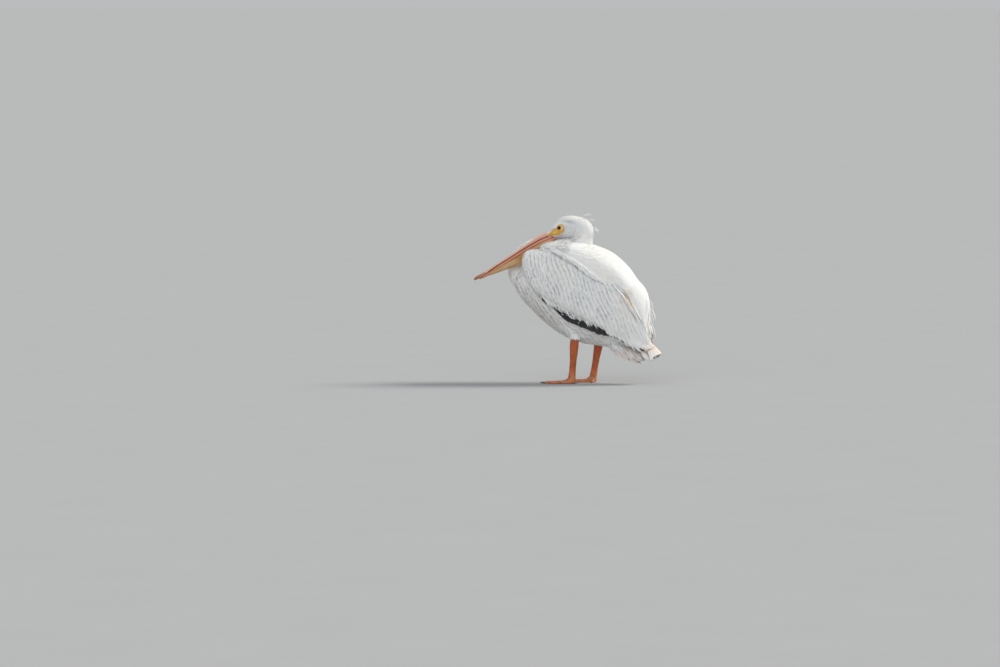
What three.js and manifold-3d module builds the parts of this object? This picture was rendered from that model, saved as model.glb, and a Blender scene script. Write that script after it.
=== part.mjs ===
// An American white pelican at rest, life size: it stands with its wings folded and its neck folded
// back, and the long bill lies down along the left side of the neck.
// Millimetres. The bird faces -Y, its left side is +X, +Z is up and the floor is z = 0.
import * as THREE from "three";
import { ParametricGeometry } from "three/addons/geometries/ParametricGeometry.js";
import { mergeVertices } from "three/addons/utils/BufferGeometryUtils.js";
import Module from "manifold-3d";

const wasm = await Module();
wasm.setup();

// Driving dimensions
const gap = 0.3; // kept between nodes that touch
const sliver = 0.1; // faces finer than this, left by a cut, are merged
const headTurn = 10; // degrees, the head and bill turned to the bird's left
const eyeRadius = 10;
const eyeApart = 42; // between the centres of the eyes
const eyeForward = 87; // ahead of the nape's pivot
const eyeLevel = 606;
const footApart = 116; // between the two heels, across the body
const leftHeel = -26; // where each heel stands along the body
const rightHeel = 30;
const leftLean = 10; // how far each ankle stands behind its heel
const rightLean = 22;
const ankleLevel = 152;
const webThickness = 2.5;
const clawLength = 13;

// Toes, as degrees outwards from straight ahead, length from the heel and radius at the tip
const toes = {
  outer: { angle: 24, length: 104, tip: 4.2 },
  middle: { angle: 4, length: 114, tip: 4.6 },
  inner: { angle: -20, length: 86, tip: 4.2 },
  hind: { angle: -100, length: 44, tip: 3.6 },
};

const finishes = {
  plumage: { color: 0xf0ece4, roughness: 0.9 },
  flightFeathers: { color: 0x1b1c20, roughness: 0.6 },
  bill: { color: 0xdb8f6d, roughness: 0.5 },
  nail: { color: 0xb56a3c, roughness: 0.45 },
  pouch: { color: 0xcf9c66, roughness: 0.6 },
  eye: { color: 0x1c120c, roughness: 0.08 },
  leg: { color: 0xc65a30, roughness: 0.6 },
  claw: { color: 0x6a5446, roughness: 0.45 },
};

const sideways = new THREE.Vector3(1, 0, 0);
const upright = new THREE.Vector3(0, 0, 1);

// A geometry as a manifold-3d solid. Where a body closes to a point, its faces of no area are left out.
function solidOf(geometry) {
  const bare = geometry.clone();
  bare.deleteAttribute("normal");
  bare.deleteAttribute("uv");
  const merged = mergeVertices(bare, 1e-3);
  const corners = merged.index.array;
  const faces = [];
  for (let i = 0; i < corners.length; i += 3) {
    const [a, b, c] = corners.slice(i, i + 3);
    if (a !== b && b !== c && c !== a) faces.push(a, b, c);
  }
  return new wasm.Manifold(
    new wasm.Mesh({
      numProp: 3,
      vertProperties: merged.attributes.position.array,
      triVerts: new Uint32Array(faces),
    }),
  );
}

// A manifold-3d solid as a geometry of flat facets.
function geometryOf(solid) {
  const mesh = solid.getMesh();
  const geometry = new THREE.BufferGeometry();
  geometry.setAttribute("position", new THREE.BufferAttribute(mesh.vertProperties, mesh.numProp));
  geometry.setIndex(new THREE.BufferAttribute(mesh.triVerts, 1));
  return geometry;
}

// The solid with its surface moved outwards by the gap.
function grown(solid) {
  const geometry = geometryOf(solid);
  geometry.computeVertexNormals();
  const { position, normal } = geometry.attributes;
  const moved = position.array.map((value, i) => value + gap * normal.array[i]);
  geometry.setAttribute("position", new THREE.BufferAttribute(moved, 3));
  return solidOf(geometry);
}

// The main piece of a solid after its neighbours, each with the gap, are cut from it.
function carve(solid, ...neighbours) {
  const left = neighbours.reduce((rest, other) => rest.subtract(grown(other)), solid);
  const main = left.decompose().reduce((a, b) => (a.volume() > b.volume() ? a : b));
  return main.simplify(sliver);
}

// A closed body of changing section. Each station gives the centre of a section (at) and how far it
// reaches sideways (wide), up (rise) and down (drop). The squares of the sizes are smoothed, so the
// body rounds off at an end station of no size. Sections are square to the spine, or stand upright.
function loft(stations, { around, along, standing = false, power = 2, arch = 0, across = sideways }) {
  const spine = new THREE.CatmullRomCurve3(stations.map(({ at }) => new THREE.Vector3(...at)));
  const squares = stations.map(({ wide, rise, drop }) => new THREE.Vector3(wide ** 2, rise ** 2, drop ** 2));
  const sizes = new THREE.CatmullRomCurve3(squares);
  const bulge = (value) => Math.sign(value) * Math.abs(value) ** (2 / power);
  const surface = (u, v, target) => {
    const share = (1 - Math.cos(Math.PI * v)) / 2;
    const size = sizes.getPoint(share);
    const tangent = spine.getTangent(share);
    const side = across.clone().addScaledVector(tangent, -across.dot(tangent)).normalize();
    const up = standing ? upright : side.clone().cross(tangent);
    const angle = -2 * Math.PI * u;
    const reach = Math.sqrt(Math.max(size.x, 0)) * bulge(Math.cos(angle));
    const height = Math.sqrt(Math.max(Math.sin(angle) > 0 ? size.y : size.z, 0)) * bulge(Math.sin(angle));
    spine.getPoint(share, target);
    target.addScaledVector(side, reach).addScaledVector(up, height - arch * reach ** 2);
  };
  return solidOf(new ParametricGeometry(surface, around, along));
}

// A station of a body whose sections stand upright, from its bottom, its widest level and its top.
function section(x, y, bottom, level, top, wide) {
  return { at: [x, y, level], wide, rise: top - level, drop: level - bottom };
}

// A station of a round or oval tube.
function round(x, y, z, wide, rise = wide, drop = rise) {
  return { at: [x, y, z], wide, rise, drop };
}

// A solid made facing straight ahead, turned with the head.
function turned(solid) {
  return solid.rotate([0, 0, headTurn]);
}

// Breast, belly and back under the folded wings.
function trunkBody() {
  return loft(
    [
      section(0, -266, 388, 388, 388, 0),
      section(0, -244, 335, 388, 440, 60),
      section(0, -200, 288, 385, 478, 90),
      section(0, -140, 232, 375, 500, 110),
      section(0, -70, 184, 360, 515, 120),
      section(0, 0, 158, 345, 515, 122),
      section(0, 70, 147, 320, 488, 113),
      section(0, 140, 138, 285, 425, 92),
      section(0, 200, 140, 240, 340, 62),
      section(0, 240, 158, 207, 262, 36),
      section(0, 258, 202, 202, 202, 0),
    ],
    { around: 18, along: 16, standing: true },
  );
}

// Mantle, scapulars and tertials: the cape of feathers over the shoulders and the back.
function mantleBody() {
  return loft(
    [
      section(0, -165, 518, 518, 518, 0),
      section(0, -143, 503, 522, 543, 88),
      section(0, -118, 500, 524, 552, 103),
      section(0, -80, 493, 520, 557, 112),
      section(0, -30, 468, 503, 555, 118),
      section(0, 30, 428, 465, 543, 118),
      section(0, 95, 388, 425, 520, 115),
      section(0, 160, 366, 400, 473, 96),
      section(0, 212, 300, 335, 410, 76),
      section(0, 246, 235, 280, 374, 53),
      section(0, 263, 195, 245, 334, 32),
      section(0, 271, 240, 240, 240, 0),
    ],
    { around: 18, along: 16, standing: true, power: 2.5 },
  );
}

// Folded wing from the wrist at the shoulder to the tips of the tertials.
function wingBody(hand) {
  return loft(
    [
      section(hand * 100, -217, 468, 468, 468, 0),
      section(hand * 98, -200, 420, 468, 516, 30),
      section(hand * 106, -160, 362, 440, 528, 32),
      section(hand * 110, -90, 316, 415, 520, 34),
      section(hand * 112, -20, 282, 380, 500, 32),
      section(hand * 110, 50, 250, 345, 460, 31),
      section(hand * 100, 110, 216, 312, 420, 30),
      section(hand * 84, 165, 192, 280, 395, 28),
      section(hand * 61, 215, 166, 240, 330, 22),
      section(hand * 41, 253, 149, 190, 250, 15),
      section(hand * 34, 276, 178, 178, 178, 0),
    ],
    { around: 12, along: 14, standing: true },
  );
}

// Black flight feathers, which show below the lower edge of the folded wing.
function flightBody(hand) {
  return loft(
    [
      section(hand * 112, -136, 334, 334, 334, 0),
      section(hand * 108, -90, 297, 330, 350, 10),
      section(hand * 107, -40, 258, 300, 330, 10),
      section(hand * 104, 10, 227, 275, 305, 10),
      section(hand * 99, 60, 208, 250, 280, 10),
      section(hand * 92, 110, 191, 220, 245, 9),
      section(hand * 85, 160, 181, 200, 225, 8),
      section(hand * 68, 210, 153, 175, 195, 7),
      section(hand * 53, 245, 137, 155, 165, 6),
      section(hand * 45, 260, 142, 142, 142, 0),
    ],
    { around: 8, along: 12, standing: true },
  );
}

// Back of the neck below the head, down to the rear bend.
function upperNeckBody() {
  return loft(
    [
      round(0, -14, 618, 0),
      round(0, -12, 598, 28, 30),
      round(-2, -8, 570, 36, 48),
      round(-6, -10, 535, 43, 49),
      round(-8, -16, 505, 44, 48),
      round(-8, -18, 462, 0),
    ],
    { around: 12, along: 8 },
  );
}

// The stretch that runs forward under the bill.
function middleNeckBody() {
  return loft(
    [
      round(-6, 25, 512, 0),
      round(-8, 0, 515, 40, 44),
      round(-18, -60, 513, 47, 52),
      round(-28, -120, 511, 50, 57),
      round(-36, -176, 506, 53, 60),
      round(-38, -227, 484, 54, 60),
      round(-35, -258, 448, 50, 55),
      round(-32, -272, 400, 0),
    ],
    { around: 12, along: 12 },
  );
}

// The stretch from the front bend down into the breast.
function lowerNeckBody() {
  return loft(
    [
      round(-36, -222, 506, 0),
      round(-36, -240, 476, 48, 48),
      round(-32, -254, 438, 52, 50, 53),
      round(-22, -236, 398, 57, 50, 49),
      round(-8, -196, 364, 62, 52, 54),
      round(0, -140, 342, 0),
    ],
    { around: 12, along: 9 },
  );
}

// Feathered head from the edge of the bill to the nape.
function headBody() {
  return turned(
    loft(
      [
        section(0, -138, 581, 581, 581, 0),
        section(0, -132, 573, 581, 589, 16),
        section(0, -119, 569, 587, 609, 21),
        section(0, -97, 566, 598, 636, 27),
        section(0, -74, 563, 604, 650, 32.5),
        section(0, -45, 560, 607, 653, 36),
        section(0, -10, 555, 604, 648, 37),
        section(0, 15, 550, 596, 640, 35),
        section(0, 32, 550, 590, 624, 27),
        section(0, 45, 588, 588, 588, 0),
      ],
      { around: 16, along: 13, standing: true, power: 2.15 },
    ),
  );
}

function eyeBody(hand) {
  const ball = new THREE.SphereGeometry(eyeRadius, 10, 7);
  ball.translate((hand * eyeApart) / 2, -eyeForward, eyeLevel);
  return turned(solidOf(ball));
}

// Upper half of the bill, with its ridge, down to the nail.
function upperBillBody() {
  return turned(
    loft(
      [
        round(0, -407, 406.5, 0),
        round(0, -400, 411, 7.5, 4, 3),
        round(0, -385, 421.5, 11.5, 5, 3),
        round(0, -333, 457.5, 14.5, 5.5, 3),
        round(0, -280, 491, 14, 6, 3),
        round(0, -227, 525, 15, 7.5, 3),
        round(0, -164, 562, 18, 12.5, 4),
        round(0, -125, 582, 20, 17, 5),
        round(0, -100, 594, 0),
      ],
      { around: 10, along: 12 },
    ),
  );
}

// Hooked nail at the tip of the bill.
function nailBody() {
  return turned(
    loft(
      [
        round(0, -417.5, 399.5, 0),
        round(0, -418.5, 404, 4.5, 4.5),
        round(0, -411, 409.5, 7.5, 6),
        round(0, -398, 417, 8.5, 5.5),
        round(0, -380, 428, 7, 4),
        round(0, -366, 437, 0),
      ],
      { around: 8, along: 7 },
    ),
  );
}

// Lower half of the bill, whose two slender arms carry the pouch.
function lowerBillBody() {
  return turned(
    loft(
      [
        round(0, -402, 404, 0),
        round(0, -394, 408.5, 7, 3, 3.5),
        round(0, -380, 416, 11, 4, 5),
        round(0, -333, 449, 13, 5, 6.5),
        round(0, -280, 483, 13.5, 5.5, 7),
        round(0, -227, 516, 14.5, 6, 8),
        round(0, -164, 552, 17.5, 7, 9),
        round(0, -120, 571, 20, 8, 11),
        round(0, -88, 580, 0),
      ],
      { around: 8, along: 11 },
    ),
  );
}

// Bare pouch of skin slung under the lower half of the bill.
function pouchBody() {
  return turned(
    loft(
      [
        round(0, -392, 407, 0),
        round(0, -372, 419, 8, 5, 4),
        round(0, -333, 438, 10.5, 9, 9),
        round(0, -290, 459, 12, 13, 14),
        round(0, -243, 482, 13, 17, 20),
        round(0, -195, 511, 14.5, 19, 22),
        round(0, -150, 540, 16, 16, 18),
        round(0, -110, 562, 15, 10, 10),
        round(0, -84, 572, 0),
      ],
      { around: 8, along: 11 },
    ),
  );
}

// Short fan of the tail, arched across its width.
function tailBody() {
  return loft(
    [
      round(0, 208, 226, 0),
      round(0, 222, 212, 24, 8, 8),
      round(0, 257, 177, 46, 6.5, 6.5),
      round(0, 288, 147, 58, 4.5, 4.5),
      round(0, 311, 125, 57, 2.2, 2.2),
      round(0, 318, 117, 0),
    ],
    { around: 14, along: 10, arch: 0.0095, power: 3 },
  );
}

// Long loose coverts under the tail.
function underTailBody() {
  return loft(
    [
      round(0, 112, 172, 0),
      round(0, 140, 155, 56, 20, 33),
      round(0, 178, 136, 51, 24, 29),
      round(0, 214, 118, 44, 28, 25),
      round(0, 238, 104, 36, 21, 16),
      round(0, 256, 94, 0),
    ],
    { around: 12, along: 9 },
  );
}

// Feathered lower thigh.
function thighBody(hand, heel, lean) {
  const x = (hand * footApart) / 2;
  const ankle = heel + lean;
  return loft(
    [
      round(x, ankle - 28, 290, 0),
      round(x, ankle - 24, 262, 36, 46),
      round(x + hand, ankle - 14, 225, 28, 36),
      round(x + hand * 2, ankle - 5, 196, 17, 23),
      round(x + hand * 2, ankle, 176, 0),
    ],
    { around: 10, along: 7 },
  );
}

// Bare shank from under the thigh feathers over the ankle to the foot.
function shankBody(hand, heel, lean) {
  const x = (hand * footApart) / 2;
  const rise = ankleLevel - 20;
  const onLeg = (level) => heel + (lean * (level - 20)) / rise;
  return loft(
    [
      round(x + hand * 2, onLeg(215), 214, 0),
      round(x + hand * 2, onLeg(200), 200, 9.5, 13),
      round(x + hand * 2, onLeg(175), 175, 11, 16),
      round(x + hand * 2, onLeg(150), 150, 12, 17.5),
      round(x + hand, onLeg(122), 122, 9.5, 16),
      round(x, onLeg(90), 90, 8, 13.5),
      round(x, onLeg(55), 55, 8.2, 13),
      round(x, onLeg(30), 30, 9, 14.5),
      round(x, onLeg(14), 12, 10, 15),
      round(x, onLeg(8), 4, 0),
    ],
    { around: 8, along: 11 },
  );
}

// Where a toe lies at a share of its length, in plan.
function onToe(hand, heel, toe, share) {
  const angle = THREE.MathUtils.degToRad(toe.angle);
  return new THREE.Vector2(
    (hand * footApart) / 2 + hand * share * toe.length * Math.sin(angle),
    heel - share * toe.length * Math.cos(angle),
  );
}

// Level direction square to a toe.
function acrossToe(hand, heel, toe) {
  const along = onToe(hand, heel, toe, 1).sub(onToe(hand, heel, toe, 0)).normalize();
  return new THREE.Vector3(-along.y, along.x, 0);
}

function toeBody(hand, heel, toe) {
  const station = (share, radius, lift) => {
    const { x, y } = onToe(hand, heel, toe, share);
    return round(x, y, lift, radius, radius * 0.9);
  };
  const bone = loft(
    [
      station(-0.08, 0, 7),
      station(0, 10, 8),
      station(0.3, 7.5, 6),
      station(0.65, toe.tip + 1.4, 4.6),
      station(0.93, toe.tip, 3.6),
      station(1, 0, 3.4),
    ],
    { around: 6, along: 5, across: acrossToe(hand, heel, toe).negate() },
  );
  return bone.trimByPlane([0, 0, 1], 0);
}

// Skin stretched between all four toes, flat on the floor, with its free edges drawn in.
function webBody(hand, heel) {
  const centre = onToe(hand, heel, toes.middle, 0);
  const tips = Object.values(toes).map((toe) => onToe(hand, heel, toe, 0.97));
  const outline = new THREE.Shape();
  outline.moveTo(centre.x + hand * 9, centre.y + 8);
  outline.lineTo(tips[0].x, tips[0].y);
  tips.slice(1).forEach((tip, i) => {
    const middle = tip.clone().add(tips[i]).multiplyScalar(0.5);
    const drawn = middle.lerp(centre, 0.17);
    outline.quadraticCurveTo(drawn.x, drawn.y, tip.x, tip.y);
  });
  outline.lineTo(centre.x - hand * 8, centre.y + 11);
  outline.closePath();
  const skin = { depth: webThickness, bevelEnabled: false, curveSegments: 3 };
  return solidOf(new THREE.ExtrudeGeometry(outline, skin));
}

function footBody(hand, heel) {
  const x = (hand * footApart) / 2;
  const instep = loft(
    [
      round(x, heel + 15, 9, 0),
      round(x, heel + 8, 10, 10, 10, 9),
      round(x, heel - 6, 12, 12, 13, 11),
      round(x + hand, heel - 24, 8, 11, 8, 8),
      round(x + hand, heel - 44, 5, 0),
    ],
    { around: 7, along: 5, across: sideways.clone().negate() },
  );
  const pieces = Object.values(toes).map((toe) => toeBody(hand, heel, toe));
  const whole = pieces.reduce((sum, toe) => sum.add(toe), webBody(hand, heel)).add(instep);
  return whole.trimByPlane([0, 0, 1], 0);
}

// Short claw that curves down from the tip of a toe to the floor.
function clawBody(hand, heel, toe) {
  const reach = clawLength / toe.length;
  const station = (share, radius, lift) => {
    const { x, y } = onToe(hand, heel, toe, share);
    return round(x, y, lift, radius * 0.8, radius);
  };
  const horn = loft(
    [
      station(0.95, 0, 4),
      station(0.98, toe.tip * 0.75, 4.4),
      station(1 + reach * 0.45, toe.tip * 0.6, 4.2),
      station(1 + reach, 0.5, 1.2),
      station(1 + reach * 1.05, 0, 0.8),
    ],
    { around: 5, along: 4, across: acrossToe(hand, heel, toe).negate() },
  );
  return horn.trimByPlane([0, 0, 1], 0);
}

const pelican = new THREE.Group();

function place(name, solid, finish) {
  const material = new THREE.MeshStandardMaterial({ ...finishes[finish], metalness: 0 });
  const mesh = new THREE.Mesh(geometryOf(solid), material);
  mesh.name = name;
  pelican.add(mesh);
}

const trunk = trunkBody();
const mantle = mantleBody();
const neck = { upper: upperNeckBody(), middle: middleNeckBody(), lower: lowerNeckBody() };
const head = headBody();
const bill = { upper: upperBillBody(), nail: nailBody(), lower: lowerBillBody(), pouch: pouchBody() };
const billParts = Object.values(bill);
const tail = tailBody();
const underTail = underTailBody();
const eyes = [eyeBody(1), eyeBody(-1)];

place("trunk", carve(trunk, bill.pouch), "plumage");
place("neck_lower", carve(neck.lower, trunk, ...billParts), "plumage");
place("neck_middle", carve(neck.middle, trunk, neck.lower, ...billParts), "plumage");
place("neck_upper", carve(neck.upper, trunk, neck.middle, ...billParts), "plumage");
place("head", carve(head, neck.upper, neck.middle, ...billParts, ...eyes), "plumage");
place("mantle", carve(mantle, trunk, ...Object.values(neck), head, ...billParts), "plumage");
place("eye_left", eyes[0], "eye");
place("eye_right", eyes[1], "eye");
place("bill_upper", carve(bill.upper, bill.nail), "bill");
place("bill_nail", bill.nail, "nail");
place("bill_lower", carve(bill.lower, bill.upper, bill.nail), "bill");
place("pouch", carve(bill.pouch, bill.lower, bill.upper, bill.nail), "pouch");
place("tail", carve(tail, trunk, mantle), "plumage");
place("under_tail", carve(underTail, trunk, tail), "plumage");

const sides = [
  { name: "left", hand: 1, heel: leftHeel, lean: leftLean },
  { name: "right", hand: -1, heel: rightHeel, lean: rightLean },
];
for (const { name, hand, heel, lean } of sides) {
  const wing = wingBody(hand);
  const flight = flightBody(hand);
  const thigh = thighBody(hand, heel, lean);
  const shank = shankBody(hand, heel, lean);
  const foot = footBody(hand, heel);
  const body = [trunk, mantle, tail, underTail];
  place(`wing_${name}`, carve(wing, ...body, ...Object.values(neck), ...billParts), "plumage");
  place(`flight_${name}`, carve(flight, ...body, wing), "flightFeathers");
  place(`thigh_${name}`, carve(thigh, trunk, flight, wing), "plumage");
  place(`shank_${name}`, carve(shank, trunk, thigh, foot), "leg");
  place(`foot_${name}`, foot, "leg");
  for (const [toe, sizes] of Object.entries(toes)) {
    place(`claw_${toe}_${name}`, carve(clawBody(hand, heel, sizes), foot), "claw");
  }
}

// The middle of the bird's length and width stands over the origin.
const extent = new THREE.Box3().setFromObject(pelican);
const middle = extent.getCenter(new THREE.Vector3());
pelican.position.set(-middle.x, -middle.y, -extent.min.z);

export default pelican;
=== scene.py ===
# An American white pelican at rest: skin, bill, eyes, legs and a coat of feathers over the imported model.
import math

import bpy
import numpy as np
from mathutils import Matrix, Vector


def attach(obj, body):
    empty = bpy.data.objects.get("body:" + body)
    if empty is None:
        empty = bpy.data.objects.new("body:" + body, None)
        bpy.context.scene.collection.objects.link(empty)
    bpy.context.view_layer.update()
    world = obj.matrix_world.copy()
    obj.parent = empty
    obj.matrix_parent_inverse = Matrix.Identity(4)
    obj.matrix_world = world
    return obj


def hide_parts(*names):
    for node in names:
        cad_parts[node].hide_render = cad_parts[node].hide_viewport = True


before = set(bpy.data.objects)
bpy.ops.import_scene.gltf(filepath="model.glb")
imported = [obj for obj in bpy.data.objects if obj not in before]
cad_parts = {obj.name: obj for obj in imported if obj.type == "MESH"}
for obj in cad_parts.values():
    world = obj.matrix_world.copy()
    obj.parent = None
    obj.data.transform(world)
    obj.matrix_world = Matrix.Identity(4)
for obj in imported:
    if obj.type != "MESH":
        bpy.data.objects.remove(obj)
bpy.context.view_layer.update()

collection = bpy.context.scene.collection
mm = 0.001
layout = {
    "forward": 50.55,  # mm the drawing is set back, so that the middle of its length is over the origin
    "headTurn": 10.0,  # degrees to the bird's left
    "eye": (21.0, -87.0, 606.0),  # mm, the left eye before the head is turned
    "eyeRadius": 10.0,
    "footApart": 116.0,
    "heels": {"left": -26.0, "right": 30.0},
    "leans": {"left": 10.0, "right": 22.0},
}
hands = {"left": 1, "right": -1}


# numbers and meshes

def unit(vectors):
    # each vector divided by its own length
    return vectors / np.maximum(np.linalg.norm(vectors, axis=-1, keepdims=True), 1e-9)


def vectors(x, y, z):
    # three numbers or arrays as one array of vectors
    return np.stack(np.broadcast_arrays(x, y, z), -1).astype(float)


def blend(pair, share):
    # from the first of a pair at share 0 to the second at share 1
    return pair[0] + (pair[1] - pair[0]) * share
def ease(value, low, high):
    # 0 below low, 1 above high, and the smooth cubic 3t^2 - 2t^3 between them
    t = np.clip((value - low) / (high - low), 0, 1)
    return t * t * (3 - 2 * t)


def turned(points, way=1):
    # points of the head, drawn facing straight ahead, turned with it about the upright axis; way -1 undoes it
    angle = way * math.radians(layout["headTurn"])
    x, y, z = np.moveaxis(np.asarray(points, float), -1, 0)
    return vectors(x * math.cos(angle) - y * math.sin(angle), x * math.sin(angle) + y * math.cos(angle), z)


def inRow(points):
    # drawing millimetres to the row's metres
    return (np.asarray(points, float) + [0, layout["forward"], 0]) * mm


def inDrawing(points):
    # the row's metres to drawing millimetres
    return np.asarray(points, float) / mm - [0, layout["forward"], 0]


def through(knots, share):
    # centripetal Catmull-Rom: a cubic through every knot, each span timed by the square root of its length
    knots = np.asarray(knots, float)
    padded = np.vstack([2 * knots[0] - knots[1], knots, 2 * knots[-1] - knots[-2]])
    place = np.clip(share, 0, 1) * (len(knots) - 1)
    i = np.clip(place.astype(int), 0, len(knots) - 2)
    w = (place - i)[..., None]
    a, b, c, d = (padded[i + k] for k in range(4))
    timed = lambda p, q: np.maximum(np.sum((q - p) ** 2, -1, keepdims=True), 1e-6) ** 0.25
    before, span, after = timed(a, b), timed(b, c), timed(c, d)
    start = ((b - a) / before - (c - a) / (before + span) + (c - b) / span) * span
    end = ((c - b) / span - (d - b) / (span + after) + (d - c) / after) * span
    return b + start * w + (3 * (c - b) - 2 * start - end) * w**2 + (2 * (b - c) + start + end) * w**3


def upright(x, y, bottom, level, top, wide):
    # a section that stands upright: its bottom, its widest level and its top
    return (x, y, level, wide, top - level, level - bottom)


def oval(x, y, z, wide, rise=None, drop=None):
    # a section square to the spine: its middle, half its width, and how far it reaches above and below
    rise = wide if rise is None else rise
    return (x, y, z, wide, rise, rise if drop is None else drop)


def bodyOf(rows, hand=1, **settings):
    # A body of changing section, listed from one end to the other by the numbers that upright or oval takes.
    # It is listed for the left side, and a hand of -1 mirrors it to the right.
    section = upright if settings.get("standing") else oval
    return dict(settings, stations=[section(hand * x, *row) for x, *row in rows])


def formAt(form, u, v):
    # A body of changing section at u round it and v along it. The centre and the squares of the half sizes
    # run smoothly through the stations; the section is an oval, square to the spine or standing upright.
    stations = np.asarray(form["stations"], float)
    depth = form.get("depth", 0)
    centres, sizes = stations[:, :3].copy(), np.maximum(stations[:, 3:] - depth, 0)
    for end, inner in ((0, 1), (-1, -2)):
        step = centres[inner] - centres[end]
        centres[end] += step * min(0.9, depth / np.linalg.norm(step))
    share = (1 - np.cos(np.pi * v)) / 2
    wide, rise, drop = np.moveaxis(np.sqrt(np.maximum(through(sizes**2, share), 0)), -1, 0)
    tangent = unit(through(centres, share + 1e-3) - through(centres, share - 1e-3))
    across = np.asarray(form.get("across", (1, 0, 0)), float)
    side = unit(across - tangent * (tangent @ across)[..., None])
    up = np.broadcast_to([0.0, 0.0, 1.0], side.shape) if form.get("standing") else np.cross(side, tangent)
    angle = -2 * np.pi * u
    bulge = lambda value: np.sign(value) * np.abs(value) ** (2 / form.get("power", 2))
    reach = wide * bulge(np.cos(angle))
    height = np.where(np.sin(angle) > 0, rise, drop) * bulge(np.sin(angle))
    if "relief" in form:  # how much the section swells, as a share of its size
        swell = 1 + form["relief"](angle, v)
        reach, height = reach * swell, height * swell
    height = height - form.get("arch", 0) * reach**2
    points = through(centres, share) + side * reach[..., None] + up * height[..., None]
    return turned(points) if form.get("head") else points


def meshOf(name, points, *faceSets):
    # a mesh from points in the row's metres and arrays of corners, one array for each size of face
    mesh = bpy.data.meshes.new(name)
    mesh.vertices.add(len(points))
    mesh.vertices.foreach_set("co", np.ascontiguousarray(points, np.float32).ravel())
    if faceSets:
        sizes = np.concatenate([np.full(len(f), f.shape[1]) for f in faceSets])
        corners = np.concatenate([f.ravel() for f in faceSets]).astype(np.int32)
        mesh.loops.add(len(corners))
        mesh.loops.foreach_set("vertex_index", corners)
        mesh.polygons.add(len(sizes))
        mesh.polygons.foreach_set("loop_start", (np.cumsum(sizes) - sizes).astype(np.int32))
        mesh.polygons.foreach_set("use_smooth", np.ones(len(sizes), bool))
    mesh.update(calc_edges=True)
    return mesh


def pieceOf(name, mesh):
    # an object of the scene that shows the mesh
    piece = bpy.data.objects.new(name, mesh)
    collection.objects.link(piece)
    return piece


def onBird(piece, slotName, *nodes):
    # the piece rides on the bird's one body and takes the place of the nodes
    if nodes:
        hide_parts(*nodes)
    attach(piece, "root")
    return piece


def marked(mesh, key, values):
    # a number for each point, for a material to read
    mesh.attributes.new(key, "FLOAT", "POINT").data.foreach_set("value", values)


def gridOf(around, along):
    # v along a tube and u round it, at its rows of points between the two ends
    return np.meshgrid(np.arange(1, along) / along, np.arange(around) / around, indexing="ij")


def wallsOf(rows, count):
    # faces between rows of count points, each row closed round
    i, j = np.meshgrid(np.arange(rows - 1), np.arange(count), indexing="ij")
    a, b = i * count + j, i * count + (j + 1) % count
    return np.stack([a, b, b + count, a + count], -1).reshape(-1, 4)


def closedGrid(rows, count):
    # faces of a tube of rows of count points, between a point at each end: the poles are the last two points
    around, start, last = np.arange(count), rows * count, (rows - 1) * count
    after = (around + 1) % count
    caps = np.concatenate([np.stack([np.full(count, start), after, around], -1),
                           np.stack([np.full(count, start + 1), last + around, last + after], -1)])
    return wallsOf(rows, count), caps


def tubeOf(form, around, along):
    # the form as a closed mesh: rows of points between its two ends
    v, u = gridOf(around, along)
    ends = formAt(form, np.zeros(2), np.array([0.0, 1.0]))
    return np.vstack([formAt(form, u, v).reshape(-1, 3), ends]), closedGrid(along - 1, around)


def tubeMesh(name, form, grid):
    # a drawn form as a mesh in the row
    points, faces = tubeOf(form, *grid)
    return meshOf(name, inRow(points), *faces)


def joined(parts):
    # several (points, (quads, triangles)) as one
    points, quads, triangles, first = [], [], [], 0
    for body, (walls, caps) in parts:
        points.append(body)
        quads.append(walls + first)
        triangles.append(caps + first)
        first += len(body)
    return np.vstack(points), np.vstack(quads), np.vstack(triangles)


def settled(piece):
    # the piece with its modifiers worked into its mesh
    graph = bpy.context.evaluated_depsgraph_get()
    made = bpy.data.meshes.new_from_object(piece.evaluated_get(graph))
    made.name = piece.name
    piece.modifiers.clear()
    piece.data = made
    made.shade_smooth()
    return piece


def grownTogether(name, parts, grain, rounds):
    # overlapping bodies as one continuous skin: remade from a fine grid of cells, then smoothed
    points, *faces = joined(parts)
    piece = pieceOf(name, meshOf(name, inRow(points), *faces))
    remesh, smooth = (piece.modifiers.new(kind, kind) for kind in ("REMESH", "SMOOTH"))
    remesh.mode, remesh.voxel_size = "VOXEL", grain * mm
    smooth.factor, smooth.iterations = 0.5, rounds
    return settled(piece)


def pointsOf(mesh):
    # a mesh's points as an array
    flat = np.empty(len(mesh.vertices) * 3, np.float32)
    mesh.vertices.foreach_get("co", flat)
    return flat.reshape(-1, 3).astype(float)


def onSurface(points, target):
    # the target's nearest points and the way out of it there, found twice: on it and 10 mm off it
    probe = pieceOf("probe", meshOf("probe", points))
    wrap = probe.modifiers.new("wrap", "SHRINKWRAP")
    wrap.target, wrap.wrap_method, wrap.wrap_mode = target, "NEAREST_SURFACEPOINT", "ABOVE_SURFACE"
    found = []
    for away in (0.0, 0.01):
        wrap.offset = away
        bpy.context.view_layer.update()
        graph = bpy.context.evaluated_depsgraph_get()
        found.append(pointsOf(probe.evaluated_get(graph).data))
    mesh = probe.data
    bpy.data.objects.remove(probe)
    bpy.data.meshes.remove(mesh)
    return found[0], unit(found[1] - found[0])


# materials

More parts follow.
